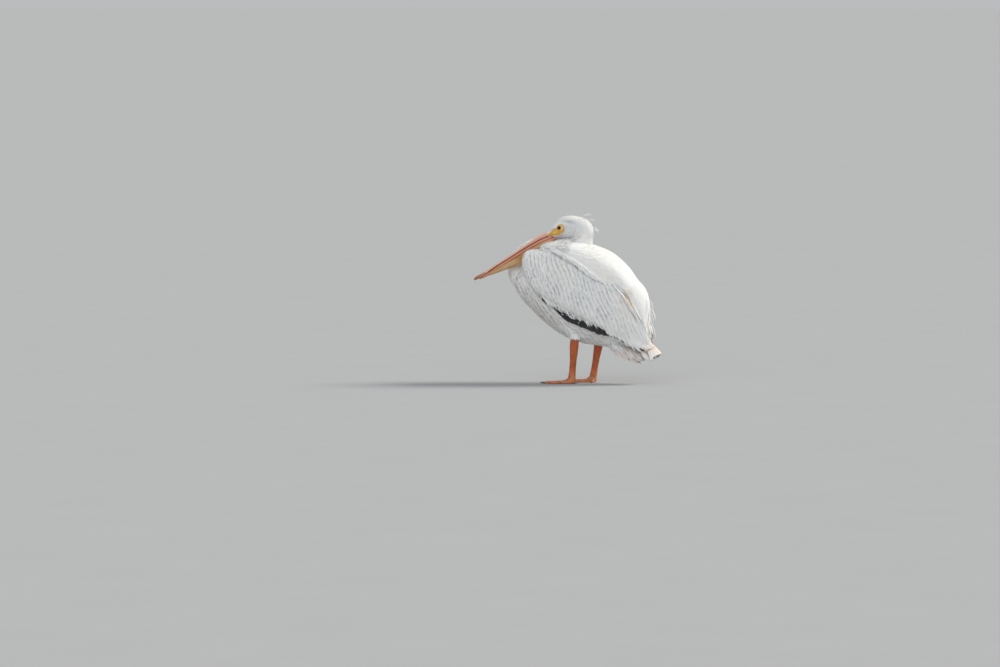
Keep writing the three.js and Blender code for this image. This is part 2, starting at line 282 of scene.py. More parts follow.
class Value:
    # one output of a material's nodes; the operators add Math nodes
    def __init__(self, paint, socket):
        self.paint, self.socket = paint, socket

    def math(self, operation, *others):
        return self.paint.add("ShaderNodeMath", {"operation": operation}, self, *others)

    def __add__(self, other):
        return self.math("ADD", other)

    def __sub__(self, other):
        return self.math("SUBTRACT", other)

    def __mul__(self, other):
        return self.math("MULTIPLY", other)

    def sine(self):
        return self.math("SINE")

    def between(self, low, high, start=0.0, end=1.0):
        # start below low, end above high, eased between them
        settings = {"interpolation_type": "SMOOTHSTEP"}
        return self.paint.add("ShaderNodeMapRange", settings, self, low, high, start, end)


class Paint:
    # a material whose nodes are written as sums of Values
    def __init__(self, name, **constants):
        self.material = bpy.data.materials.new(name)
        self.material.use_nodes = True
        self.tree = self.material.node_tree
        self.shader = self.tree.nodes["Principled BSDF"]
        for socket, value in constants.items():
            self.shader.inputs[socket.replace("_", " ")].default_value = value
        self.point = self.add("ShaderNodeTexCoord", {}, out="Object")
        self.z = self.add("ShaderNodeSeparateXYZ", {}, self.point, out="Z")
        self.facing = self.add("ShaderNodeVectorRotate", {"rotation_type": "Z_AXIS"}, self.point,
                               (0, layout["forward"] * mm, 0), Angle=-math.radians(layout["headTurn"]))

    def plug(self, socket, value):
        # a Value is linked to the socket; anything else becomes its setting
        if isinstance(value, Value):
            self.tree.links.new(value.socket, socket)
        else:
            socket.default_value = (*value, 1) if socket.type == "RGBA" else value

    def add(self, kind, settings, *values, out=0, **named):
        # a node whose inputs are given in their order or by name
        node = self.tree.nodes.new(kind)
        for key, setting in settings.items():
            setattr(node, key, setting)
        for socket, value in [*zip(node.inputs, values), *((node.inputs[k], v) for k, v in named.items())]:
            self.plug(socket, value)
        return Value(self, node.outputs[out])

    def attribute(self, name):
        return self.add("ShaderNodeAttribute", {"attribute_name": name}, out="Fac")

    def acrossVane(self):
        # from one edge of a feather to the other and back under it
        corners = self.add("ShaderNodeUVMap", {"uv_map": "vane"})
        return self.add("ShaderNodeSeparateXYZ", {}, corners, out="X")

    def stretched(self, vector, scale):
        # places scaled, so that a pattern there is drawn out where the scale is small
        return self.add("ShaderNodeMapping", {}, vector, Scale=scale)

    def tilted(self, vector, degrees):
        # turned about the axis across the bird
        axis = {"rotation_type": "X_AXIS"}
        return self.add("ShaderNodeVectorRotate", axis, vector, Angle=math.radians(degrees))

    def noise(self, vector, scale, detail=2.0, roughness=0.5):
        look = {"Vector": vector, "Scale": scale, "Detail": detail, "Roughness": roughness}
        return self.add("ShaderNodeTexNoise", {}, **look)

    def cells(self, vector, scale, feature="F1", out="Distance"):
        return self.add("ShaderNodeTexVoronoi", {"feature": feature}, Vector=vector, Scale=scale, out=out)

    def mix(self, share, first, second, way="MIX"):
        # colours: first at share 0, second at share 1
        node = self.tree.nodes.new("ShaderNodeMix")
        node.data_type, node.blend_type = "RGBA", way
        for k, value in ((0, share), (6, first), (7, second)):  # the node's sockets for colours
            self.plug(node.inputs[k], value)
        return Value(self, node.outputs[2])

    def spot(self, centre, size, edge=0.6, turn=0.0, at=None):
        # 1 inside an ellipsoid fading to 0 at its rim; centre and half sizes in drawing mm, turned about X by
        # degrees; at is where the points are taken from, such as facing, which undoes the head's turn
        kind = "ShaderNodeVectorMath"
        away = self.add(kind, {"operation": "SUBTRACT"}, at or self.point, tuple(inRow(centre)))
        away = self.tilted(away, turn) if turn else away
        scaled = self.add(kind, {"operation": "DIVIDE"}, away, tuple(s * mm for s in size))
        return self.add(kind, {"operation": "LENGTH"}, scaled, out="Value").between(edge, 1, 1, 0)

    def spotted(self, colour, marks, at, worn=1.0):
        # the marks laid over the colour in their order, each thinned out by worn
        for middle, size, edge, turn, tint, strength in marks:
            colour = self.mix(self.spot(middle, size, edge, turn, at) * worn * strength, colour, tint)
        return colour

    def bump(self, height, distance, strength=1.0):
        normal = self.add("ShaderNodeBump", {}, Strength=strength, Distance=distance, Height=height)
        self.plug(self.shader.inputs["Normal"], normal)

    def finish(self, **inputs):
        # the material, with these inputs of its shader
        for name, value in inputs.items():
            self.plug(self.shader.inputs[name.replace("_", " ")], value)
        return self.material


# the body under the coat

forms = {
    "trunk": bodyOf([
        (0, -266, 388, 388, 388, 0), (0, -244, 335, 388, 440, 60), (0, -200, 288, 385, 478, 90),
        (0, -140, 232, 375, 500, 110), (0, -70, 184, 360, 515, 120), (0, 0, 158, 345, 515, 122),
        (0, 70, 147, 320, 488, 113), (0, 140, 138, 285, 425, 92), (0, 200, 140, 240, 340, 62),
        (0, 240, 158, 207, 262, 36), (0, 258, 202, 202, 202, 0)], standing=True, depth=4.5),
    "mantle": bodyOf([
        (0, -165, 518, 518, 518, 0), (0, -143, 503, 522, 543, 88), (0, -118, 500, 524, 552, 103),
        (0, -80, 493, 520, 557, 112), (0, -30, 468, 503, 555, 118), (0, 30, 428, 465, 543, 118),
        (0, 95, 388, 425, 520, 115), (0, 160, 366, 400, 473, 96), (0, 212, 300, 335, 410, 76),
        (0, 246, 235, 280, 374, 53), (0, 263, 195, 245, 334, 32), (0, 271, 240, 240, 240, 0)],
        standing=True, depth=4.5, power=2.5),
    "neckUpper": bodyOf([
        (0, -14, 618, 0), (0, -12, 598, 28, 30), (-2, -8, 570, 36, 48), (-6, -10, 535, 43, 49),
        (-8, -16, 505, 44, 48), (-8, -18, 462, 0)], depth=3.5),
    "neckMiddle": bodyOf([
        (-6, 25, 512, 0), (-8, 0, 515, 40, 44), (-18, -60, 513, 47, 52), (-28, -120, 511, 50, 57),
        (-36, -176, 506, 53, 60), (-38, -227, 484, 54, 60), (-35, -258, 448, 50, 55), (-32, -272, 400, 0)],
        depth=4),
    "neckLower": bodyOf([
        (-36, -222, 506, 0), (-36, -240, 476, 48, 48), (-32, -254, 438, 52, 50, 53),
        (-22, -236, 398, 57, 50, 49), (-8, -196, 364, 62, 52, 54), (0, -140, 342, 0)], depth=4.5),
    "head": bodyOf([
        (0, -146, 580, 580, 580, 0), (0, -137, 571, 580, 592, 16), (0, -128, 568, 583, 600, 20),
        (0, -117, 567, 588, 611, 23), (0, -97, 566, 598, 636, 27), (0, -74, 563, 604, 650, 32.5),
        (0, -45, 560, 607, 653, 36), (0, -10, 555, 604, 648, 37), (0, 15, 550, 596, 640, 35),
        (0, 32, 550, 590, 624, 27), (0, 45, 588, 588, 588, 0)],
        standing=True, head=True, depth=1.8, power=2.15),
    "underTail": bodyOf([
        (0, 112, 172, 0), (0, 140, 155, 56, 20, 33), (0, 178, 136, 51, 24, 29), (0, 214, 118, 44, 28, 25),
        (0, 238, 104, 36, 21, 16), (0, 256, 94, 0)], depth=6),
    "tail": bodyOf([
        (0, 208, 226, 0), (0, 222, 212, 24, 8, 8), (0, 257, 177, 46, 6.5, 6.5),
        (0, 288, 147, 58, 4.5, 4.5), (0, 311, 125, 57, 2.2, 2.2), (0, 318, 117, 0)], arch=0.0095, power=3),
}
for side, hand in hands.items():
    x, ankle = layout["footApart"] / 2, layout["heels"][side] + layout["leans"][side]
    forms[f"wing_{side}"] = bodyOf([
        (100, -217, 468, 468, 468, 0), (98, -200, 420, 468, 516, 30), (106, -160, 362, 440, 528, 32),
        (110, -90, 316, 415, 520, 34), (112, -20, 282, 380, 500, 32), (110, 50, 250, 345, 460, 31),
        (100, 110, 216, 312, 420, 30), (84, 165, 192, 280, 395, 28), (61, 215, 166, 240, 330, 22),
        (41, 253, 149, 190, 250, 15), (34, 276, 178, 178, 178, 0)], hand, standing=True, depth=5)
    forms[f"flight_{side}"] = bodyOf([
        (112, -136, 334, 334, 334, 0), (108, -90, 297, 330, 350, 10), (107, -40, 258, 300, 330, 10),
        (104, 10, 227, 275, 305, 10), (99, 60, 208, 250, 280, 10), (92, 110, 191, 220, 245, 9),
        (85, 160, 181, 200, 225, 8), (68, 210, 153, 175, 195, 7), (53, 245, 137, 155, 165, 6),
        (45, 260, 142, 142, 142, 0)], hand, standing=True)
    forms[f"thigh_{side}"] = bodyOf([
        (x, ankle - 28, 290, 0), (x, ankle - 24, 262, 36, 46), (x + 1, ankle - 14, 225, 28, 36),
        (x + 2, ankle - 5, 196, 17, 23), (x + 2, ankle, 176, 0)], hand, depth=3)

fleshForms = ["trunk", "mantle", "neckUpper", "neckMiddle", "neckLower", "head", "underTail",
              "wing_left", "wing_right", "thigh_left", "thigh_right"]
skinLook = {"grid": (72, 72), "grain": 3.8, "rounds": 4}  # points round and along, mm of a cell, smoothing
flesh = [tubeOf(forms[name], *skinLook["grid"]) for name in fleshForms]
skin = onBird(grownTogether("skin", flesh, skinLook["grain"], skinLook["rounds"]), "plumage",
              "trunk", "mantle", "neck_upper", "neck_middle", "neck_lower", "head", "under_tail",
              "wing_left", "wing_right", "thigh_left", "thigh_right")
print("skin", len(skin.data.polygons), "faces")


# the bill

def ridged(angle, v):
    # a rounded keel along the top with a groove each side of it, fading out towards the face
    top = np.sin(angle) > 0
    keel = 0.13 * np.exp(-((np.cos(angle) / 0.3) ** 2))
    groove = 0.12 * np.exp(-(((np.abs(np.cos(angle)) - 0.58) / 0.13) ** 2))
    return np.where(top, keel - groove, 0) * ease(v, 0, 0.15) * (1 - 0.6 * ease(v, 0.6, 0.95))


def pleated(angle, v):
    # long shallow folds in the hanging half of the pouch, wandering a little on their way back
    slack = ease(-np.sin(angle), -0.35, 0.5) * ease(v, 0.05, 0.3)
    wander = 1.1 * np.sin(7 * v + 2 * np.cos(3 * v))
    return slack * (0.045 * np.sin(9 * angle + wander) + 0.02 * np.sin(17 * angle - 2.3 * wander))


forms["billUpper"] = bodyOf([
    (0, -407, 406.5, 0), (0, -400, 411, 7.5, 4, 3), (0, -385, 421.5, 11.5, 5, 3),
    (0, -333, 457.5, 14.5, 5.5, 3), (0, -280, 491, 14, 6, 3), (0, -227, 525, 15, 7.5, 3),
    (0, -164, 562, 18, 12.5, 4), (0, -140, 573, 19, 14.5, 4.5), (0, -122, 582, 14, 11, 3),
    (0, -108, 589, 0)], head=True, relief=ridged)
forms["billNail"] = bodyOf([
    (0, -417.5, 399.5, 0), (0, -418.5, 404, 4.5, 4.5), (0, -411, 409.5, 7.5, 6), (0, -398, 417, 8.5, 5.5),
    (0, -380, 428, 7, 4), (0, -366, 437, 0)], head=True)
forms["billLower"] = bodyOf([
    (0, -402, 404, 0), (0, -394, 408.5, 7, 3, 3.5), (0, -380, 416, 11, 4, 5), (0, -333, 449, 13, 5, 6.5),
    (0, -280, 483, 13.5, 5.5, 7), (0, -227, 516, 14.5, 6, 8), (0, -164, 552, 17.5, 7, 9),
    (0, -124, 569, 17.5, 7, 9), (0, -103, 577, 0)], head=True)
forms["pouch"] = bodyOf([
    (0, -392, 407, 0), (0, -372, 419, 8, 5, 4), (0, -333, 438, 10.5, 9, 9), (0, -290, 459, 12, 13, 14),
    (0, -243, 482, 13, 17, 20), (0, -195, 511, 14.5, 19, 22), (0, -150, 540, 16, 16, 18),
    (0, -120, 558, 14, 9, 9), (0, -100, 568, 0)], head=True, relief=pleated)

billLook = {"grid": (72, 200), "nailGrid": (40, 40), "pouchGrid": (144, 200)}  # points round and along


def tubePiece(name, form, grid, slotName, node):
    # a form whose points know how high they lie on its section, from -1 to 1, and how far along it
    mesh = tubeMesh(name, form, grid)
    v, u = gridOf(*grid)
    marked(mesh, "height", np.r_[np.sin(-2 * np.pi * u).ravel(), 0, 0])
    marked(mesh, "along", np.r_[((1 - np.cos(np.pi * v)) / 2).ravel(), 0, 1])
    return onBird(pieceOf(name, mesh), slotName, node)


upperBill = tubePiece("upperBill", forms["billUpper"], billLook["grid"], "bill", "bill_upper")
nail = tubePiece("nail", forms["billNail"], billLook["nailGrid"], "nail", "bill_nail")
lowerBill = tubePiece("lowerBill", forms["billLower"], billLook["grid"], "bill", "bill_lower")
pouch = tubePiece("pouchSkin", forms["pouch"], billLook["pouchGrid"], "pouch", "pouch")
print("bill")


# the eyes and the bare skin round them

faceLook = {
    "cornea": 0.07,  # how far the front of the eye bulges, as a share of its radius
    "lidRadius": 11.0,  # mm, the lids lie over the eyeball
    "opening": (7.2, 6.3),  # half length and half height between the lids
    # how far the bare skin reaches from the middle of the eye: degrees up from straight ahead, mm
    "reach": [(20, 10), (0, 11), (-12, 15), (-18, 25), (-24, 40), (-31, 52), (-40, 54), (-50, 45), (-64, 33),
              (-92, 22), (-116, 19), (-150, 20), (180, 19), (140, 18), (90, 14.5), (55, 11.5)],
    "fold": 0.7,  # mm, height of the folds that ring the eye
    "rings": 64, "around": 144,
}


def bareReach(turn):
    # the edge of the bare skin at an angle, in straight steps round the listed reaches
    listed = sorted((math.radians(a) % (2 * math.pi), r) for a, r in faceLook["reach"])
    angles, reaches = np.array(listed).T
    return np.interp(turn % (2 * np.pi), np.r_[angles[-1] - 2 * np.pi, angles, angles[0] + 2 * np.pi],
                     np.r_[reaches[-1], reaches, reaches[0]])


def aboutEye(points, hand):
    # how far row points lie from the middle of the eye in side view, at what angle up from straight ahead,
    # and how far out from the middle of the head
    x, y, z = np.moveaxis(turned(inDrawing(points), -1), -1, 0)
    ahead, above = layout["eye"][1] - y, z - layout["eye"][2]
    return np.hypot(ahead, above), np.arctan2(above, ahead), hand * x


def eyeBall(side, hand):
    # a ball whose front bulges as the cornea; t runs from the front pole to the back one
    v, u = gridOf(64, 48)
    t, turn, bulge = v * np.pi, u * 2 * np.pi, faceLook["cornea"]
    radius = layout["eyeRadius"] * (1 + bulge * (1 - ease(t, 0.15, 0.75)))
    offset = vectors(hand * np.cos(t), -np.sin(t) * np.cos(turn), hand * np.sin(t) * np.sin(turn))
    poles = np.array([[hand * (1 + bulge), 0, 0], [-hand, 0, 0]]) * layout["eyeRadius"]
    ball = np.vstack([(offset * radius[..., None]).reshape(-1, 3), poles])
    points = inRow(turned(np.array(layout["eye"]) * [hand, 1, 1] + ball))
    mesh = meshOf(f"eye{side}", points, *closedGrid(47, 64))
    marked(mesh, "fromFront", np.r_[t.ravel(), 0, np.pi])
    return onBird(pieceOf(f"eyeball_{side}", mesh), "eye", f"eye_{side}")


def eyeSkin(side, hand):
    # Lids and bare skin as one sheet: rings go out from the opening between the lids to the edge of the
    # feathers. Near the eye they lie on the lids' ball, further out on the head, with low rings of folds.
    middle, radius = layout["eye"], faceLook["lidRadius"]
    share = np.r_[-0.02, np.linspace(0, 1, faceLook["rings"]) ** 1.3]
    around = np.arange(faceLook["around"]) / faceLook["around"] * 2 * np.pi
    s, turn = np.meshgrid(share, around, indexing="ij")
    wide, high = faceLook["opening"]
    opening = 1 / np.sqrt((np.cos(turn) / wide) ** 2 + (np.sin(turn) / high) ** 2)
    under = np.maximum(-np.sin(turn), 0)  # further below, where the head curves in
    reach = opening + ((1.08 + 0.26 * under) * bareReach(turn) - opening) * np.maximum(s, 0)
    flat = vectors(30.0 * hand, -reach * np.cos(turn) + middle[1], reach * np.sin(turn) + middle[2])
    near, out = onSurface(inRow(turned(flat)).reshape(-1, 3), headShape)
    ring = reach - opening
    folds = faceLook["fold"] * (np.exp(-((ring - 2.2) / 0.9) ** 2) + 0.6 * np.exp(-((ring - 5.2) / 1.2) ** 2))
    creases = 0.22 * np.sin(11 * turn + 4 * np.sin(3 * turn)) * ease(ring, 1, 5)
    creases = creases * np.sin(ring * 0.9 + np.cos(5 * turn))
    lift = 0.9 - 1.6 * ease(s, 0.9, 1) + (folds + creases)
    straight = turned(inDrawing(near + out * (lift.reshape(-1, 1) * mm)), -1).reshape(*reach.shape, 3)
    ball = np.sqrt(np.maximum(radius**2 - reach**2, 0)) + middle[0] + 0.5 * np.exp(-ring**2)
    outward = hand * straight[..., 0]
    outward = np.where(reach < radius, np.log(np.exp(outward) + np.exp(ball)), outward)
    outward[0] = middle[0] + np.sqrt(layout["eyeRadius"] ** 2 - reach[0] ** 2) - 0.4
    nearEye = 1 - ease(reach, 8, 15)
    straight[..., 1:] += (flat[..., 1:] - straight[..., 1:]) * nearEye[..., None]
    straight[..., 0] = hand * outward
    quads = wallsOf(*reach.shape)
    quads = quads if hand < 0 else quads[:, ::-1]
    mesh = meshOf(f"eyeSkin{side}", inRow(turned(straight)).reshape(-1, 3), quads)
    return onBird(pieceOf(f"eyeSkin_{side}", mesh), "bill")


headShape = pieceOf("headShape", tubeMesh("headShape", forms["head"], skinLook["grid"]))
eyes = [eyeBall(side, hand) for side, hand in hands.items()]
eyeSkins = [eyeSkin(side, hand) for side, hand in hands.items()]
bpy.data.objects.remove(headShape)
print("eyes")


# legs, feet and claws

toes = {  # degrees outwards from straight ahead, length from the heel and radius at the tip in mm
    "outer": (24, 104, 4.2), "middle": (4, 114, 4.6), "inner": (-20, 86, 4.2), "hind": (-100, 44, 3.6)}
legLook = {"grain": 1.15, "rounds": 2, "clawLength": 13.0, "web": 2.5, "drawnIn": 0.17, "plates": 0.05,
           "sole": 0.15}


def onToe(side, toe, share):
    # the plan of a toe: a straight line from the heel
    angle, length, _ = toes[toe]
    hand, turn = hands[side], math.radians(angle)
    share = np.asarray(share, float)
    return np.stack([hand * (layout["footApart"] / 2 + share * length * math.sin(turn)),
                     layout["heels"][side] - share * length * math.cos(turn)], -1)


def acrossToe(side, toe):
    # the way across a toe: its own way along the floor, turned by a right angle
    heel, tip = onToe(side, toe, [0.0, 1.0])
    along = (tip - heel) / np.linalg.norm(tip - heel)
    return (along[1], -along[0], 0.0)


def plated(count):
    # cross plates along the top of a toe, each a small step that rises towards the claw
    def relief(angle, v):
        return legLook["plates"] * ((v * count) % 1.0) * ease(np.sin(angle), 0.1, 0.6) * ease(v, 0.12, 0.2)
    return relief


def toeForm(side, toe):
    # share of the length, height and half width at each knuckle
    tip = toes[toe][2]
    knuckles = [(-0.08, 7, 0), (0, 8, 10), (0.16, 7, 8.2), (0.3, 6, 7.3), (0.4, 5.6, 6.4), (0.52, 5.4, 7.0),
                (0.65, 4.6, tip + 1.2), (0.76, 4.5, tip + 1.5), (0.93, 3.6, tip), (1, 3.4, 0)]
    rows = [(*onToe(side, toe, share), level, wide, wide * 0.9) for share, level, wide in knuckles]
    return bodyOf(rows, across=acrossToe(side, toe), relief=plated(22))


def clawForm(side, toe):
    # the same for a claw, which carries on from the end of the toe
    tip, reach = toes[toe][2], legLook["clawLength"] / toes[toe][1]
    spine = [(0.95, 4, 0), (0.98, 4.4, tip * 0.75), (1 + reach * 0.45, 4.2, tip * 0.6),
             (1 + reach, 1.2, 0.5), (1 + reach * 1.05, 0.8, 0)]
    rows = [(*onToe(side, toe, share), level, wide * 0.8, wide) for share, level, wide in spine]
    return bodyOf(rows, across=acrossToe(side, toe))


def shankForm(side):
    # the leg leans back evenly from heel to ankle; height, how far out, half width and half depth
    x, heel = layout["footApart"] / 2, layout["heels"][side]
    sizes = [(214, 2, 0, 0), (200, 2, 9.5, 13), (175, 2, 11, 16), (150, 2, 12, 17.5), (122, 1, 9.5, 16),
             (90, 0, 8, 13.5), (55, 0, 8.2, 13), (30, 0, 9, 14.5), (12, 0, 10, 15), (4, 0, 0, 0)]
    lean = layout["leans"][side]
    return bodyOf([(x + out, heel + lean * (level - 20) / 132, level, wide, deep)
                   for level, out, wide, deep in sizes], hands[side])


def instepForm(side):
    # the swelling between the leg and the toes
    x, heel = layout["footApart"] / 2, layout["heels"][side]
    rows = [(x, heel + 15, 9, 0), (x, heel + 8, 10, 10, 10, 9), (x, heel - 6, 12, 12, 13, 11),
            (x + 1, heel - 24, 8, 11, 8, 8), (x + 1, heel - 44, 5, 0)]
    return bodyOf(rows, hands[side], across=(-1, 0, 0))


def web(side, first, second):
    # Skin stretched between two toes: rows cross from one toe to the other, and each row is a flat closed
    # loop out along the top and back along the bottom. The free edge is drawn in between the toes.
    t, turn = np.meshgrid(np.linspace(0.02, 0.98, 26), np.arange(72) / 72 * 2 * np.pi, indexing="ij")
    drawn = 1 - 4 * legLook["drawnIn"] * t * (1 - t)
    s = 0.05 + 0.91 * drawn * (0.5 + 0.5 * np.cos(turn))
    plan = onToe(side, first, s) * (1 - t[..., None]) + onToe(side, second, s) * t[..., None]
    top = legLook["web"] + 0.3 * np.sin(s * 42 + 3 * t) * np.sin(np.pi * t) + 1.5 * (2 * t - 1) ** 6
    z = np.where(np.sin(turn) > 0, top * np.abs(np.sin(turn)) ** 0.25, 0)
    body = np.concatenate([plan, z[..., None]], -1)
    ends = np.stack([body[0].mean(0), body[-1].mean(0)])
    return np.vstack([body.reshape(-1, 3), ends]), closedGrid(26, 72)


def legPiece(side):
    # leg, instep, toes and webs grown into one, its soles resting flat
    parts = [tubeOf(shankForm(side), 48, 120), tubeOf(instepForm(side), 40, 30)]
    parts += [tubeOf(toeForm(side, toe), 32, 140) for toe in toes]
    names = list(toes)
    parts += [web(side, first, second) for first, second in zip(names, names[1:])]
    for body, _ in parts:
        body[:, 2] = np.maximum(body[:, 2], legLook["sole"])
    piece = grownTogether(f"leg_{side}", parts, legLook["grain"], legLook["rounds"])
    return onBird(piece, "leg_skin", f"shank_{side}", f"foot_{side}")


def clawPiece(side):
    # the four claws of a foot as one piece
    points, *faces = joined([tubeOf(clawForm(side, toe), 24, 24) for toe in toes])
    points[:, 2] = np.maximum(points[:, 2], 0.1)
    piece = pieceOf(f"claws_{side}", meshOf(f"claws{side}", inRow(points), *faces))
    return onBird(piece, "claw", *(f"claw_{toe}_{side}" for toe in toes))


legs = [legPiece(side) for side in hands]
claws = [clawPiece(side) for side in hands]
print("legs", [len(leg.data.polygons) for leg in legs], "faces")


# the coat

tuftShapes = {  # shares of the length where the rings stand, the width at each, its thickness and droop
    "plume": {"knots": (0, 0.14, 0.42, 0.72, 0.92, 1), "widths": (0.5, 1.0, 0.86, 0.42),
              "thick": 0.14, "droop": 0.05},
    "lance": {"knots": (0, 0.1, 0.32, 0.58, 0.8, 0.94, 1), "widths": (0.5, 0.95, 1.0, 0.74, 0.36),
              "thick": 0.12, "droop": 0.05},
    "scale": {"knots": (0, 0.15, 0.45, 0.75, 0.93, 1), "widths": (0.5, 0.96, 1.0, 0.62),
              "thick": 0.09, "droop": 0.05},
    "down": {"knots": (0, 0.25, 0.65, 1), "widths": (0.75, 0.9), "thick": 0.25, "droop": 0.0},
    "vane": {"knots": (0, 0.06, 0.2, 0.4, 0.6, 0.78, 0.9, 0.97, 1),
             "widths": (0.5, 0.85, 1.0, 1.0, 0.95, 0.78, 0.45), "thick": 0.05, "droop": 0.05},
}
shading = {"tuft": 0.45, "lock": 0.5}  # how far it turns aside at a tuft's edges and on a lock's sides

edges = {  # heights seen from the side for distances back, in mm
    "scapular": (  # where the back's feathers end over the wing
        [-200, -107, -62, -9, 35, 73, 107, 143, 175, 197, 219, 240, 262, 277],
        [560, 524, 500, 472, 439, 415, 401, 392, 373, 349, 307, 269, 226, 184]),
    "covert": (  # where the wing's own feathers end over the flight feathers
        [-200, -119, -56, 13, 75, 128, 175, 219, 255, 280],
        [400, 332, 306, 274, 250, 214, 192, 165, 146, 133]),
    "flight": (  # the lower edge of the flight feathers
        [-119, -86, -50, -23, 3, 45, 84, 99, 134, 155, 188, 209, 241, 254],
        [318, 296, 266, 243, 230, 215, 199, 191, 190, 184, 167, 151, 136, 130]),
    "wing": (  # the front and lower edge of its body
        [-219, -217, -200, -160, -90, -20, 50], [520, 468, 420, 362, 316, 282, 250]),
    "plume": (  # the lower edge of the plumes under the tail
        [100, 122, 148, 190, 220, 234, 250, 270], [168, 148, 112, 99, 92, 91, 98, 110]),
}


def edgeAt(name, y):
    # the height of an edge at a distance back, straight between the listed ones
    return np.interp(y, *edges[name])


def backPiece(name, form, slotName, node):
    # the body that the long feathers lie on
    return onBird(pieceOf(name, tubeMesh(name, form, (48, 60))), slotName, node)


flightBacks = [backPiece(f"flightBack_{side}", dict(forms[f"flight_{side}"], depth=2.5), "flight_feathers",
                         f"flight_{side}") for side in hands]
shortTail = bodyOf([(0, 208, 226, 0), (0, 222, 212, 24, 8, 8), (0, 257, 177, 44, 6.5, 6.5),
                    (0, 280, 154, 50, 4, 4), (0, 294, 140, 0)], arch=0.0095, power=3, depth=1.6)
tailBack = backPiece("tailBack", shortTail, "plumage", "tail")


def facesOf(mesh):
    # the corners of a mesh's quads and of its triangles
    corners = np.empty(len(mesh.loops), np.int32)
    starts, sizes = np.empty((2, len(mesh.polygons)), np.int32)
    mesh.loops.foreach_get("vertex_index", corners)
    mesh.polygons.foreach_get("loop_start", starts)
    mesh.polygons.foreach_get("loop_total", sizes)
    return tuple(corners[starts[sizes == n][:, None] + np.arange(n)] for n in (4, 3))


def underCoat():
    # everything the feathers lie on, as one mesh for finding heights
    bodies = [piece.data for piece in (skin, *flightBacks, tailBack)]
    points, *faces = joined([(pointsOf(body), facesOf(body)) for body in bodies])
    return pieceOf("underCoat", meshOf("underCoat", points, *faces))


ground = underCoat()


def rowsOn(form, spacing, random):
    # Places on a form in rows across it, as feathers grow: equal distances along it between rows and round it
    # within a row, every other row shifted by half a step, and each place then moved a little.
    fine = np.arange(200)
    v, u = np.meshgrid(np.linspace(0.004, 0.996, len(fine)), np.linspace(0, 1, 145), indexing="ij")
    grid = formAt(form, u, v)
    along = np.r_[0, np.cumsum(np.linalg.norm(np.diff(grid, axis=0), axis=2).mean(1))]
    around = np.cumsum(np.linalg.norm(np.diff(grid, axis=1), axis=2), axis=1)
    rows = np.interp(np.arange(spacing / 2, along[-1], 0.87 * spacing), along, fine)
    turns, places = [], []
    for k, row in enumerate(rows):
        lengths = np.r_[0, around[int(round(row))]]
        count = max(3, int(lengths[-1] / spacing))
        steps = (np.arange(count) + 0.5 * (k % 2) + random.uniform(-0.32, 0.32, count)) / count % 1
        turns.append(np.interp(steps * lengths[-1], lengths, u[0]))
        row = row + random.uniform(-0.3, 0.3, count) * (rows[1] - rows[0])
        places.append(np.interp(row, fine, v[:, 0]))
    return np.concatenate(turns), np.concatenate(places)


def rootsOn(names, spacing, seed):
    # The roots that lie open on the skin of several forms, with the way out, the way along the form, the
    # place in the drawing, and where each is on the bake's map: one quarter of the map for each form.
    random, found, step = np.random.default_rng(seed), [], 2e-3
    for k, name in enumerate(names):
        u, v = rowsOn(forms[name], spacing, random)
        at = lambda du, dv: formAt(forms[name], u + du, np.clip(v + dv, 0, 1))
        around, along = at(step, 0) - at(-step, 0), unit(at(0, step) - at(0, -step))
        drawn = inRow(at(0, 0))
        near, out = onSurface(drawn, skin)
        seen = np.linalg.norm(near - drawn, axis=1) < 3.4 * mm
        seen &= np.sum(unit(np.cross(around, along)) * out, 1) > 0.25
        size = 1 if len(names) == 1 else 0.5
        bakeAt = np.array([k % 2, k // 2]) * 0.5 + size * (0.01 + 0.98 * np.stack([u, v], -1))
        found.append(np.concatenate([near, out, along, inDrawing(near), bakeAt], 1)[seen])
    points, out, along, place, bakeAt = np.split(np.vstack(found), [3, 6, 9, 12], axis=1)
    return {"points": points, "out": out, "along": along, "place": place, "bakeAt": bakeAt, "random": random}


def only(roots, keep):
    # some of the roots
    return {key: value[keep] if isinstance(value, np.ndarray) else value for key, value in roots.items()}


def locks(place, lie, wide, long):
    # Feathers gather into locks. Across the lie the pull to a lock's middle is a sine of the distance
    # across, which wanders along the lie; the shade is 1 in the partings and 0 on the locks, and the rise
    # the other way.
    y, z, lie = place[:, 1], place[:, 2], math.radians(lie)
    across = y * math.sin(lie) + z * math.cos(lie)
    down = y * math.cos(lie) - z * math.sin(lie)
    wander = 0.35 * np.sin(down / long + across / 71) + 0.25 * np.sin(0.41 * down / long - across / 37)
    phase = 2 * np.pi * (across / wide + wander)
    finer = phase * 2.37 + 2.4 * np.sin(1.3 * down / long + across / 23)
    finest = phase * 4.1 + 3.1 * np.sin(0.9 * down / long - across / 31)
    crest = np.cos(phase) * 0.42 + np.cos(finer) * 0.33 + np.cos(finest) * 0.25
    return np.sin(phase) * 0.6 + np.sin(finer) * 0.4, ease(-crest, 0.02, 0.7), 0.5 + 0.5 * crest


def trimmed(length, place, heads, edge, over):
    # feathers shortened so that their tips reach no further than over mm beyond an edge below them
    for _ in range(3):
        room = place[:, 2] - edgeAt(edge, place[:, 1] + heads[:, 1] * length) + over
        length = np.clip(room / np.maximum(-heads[:, 2], 0.2), 6, length)
    return length


def plain(place):
    # no shadow between the feathers
    return np.zeros(len(place))


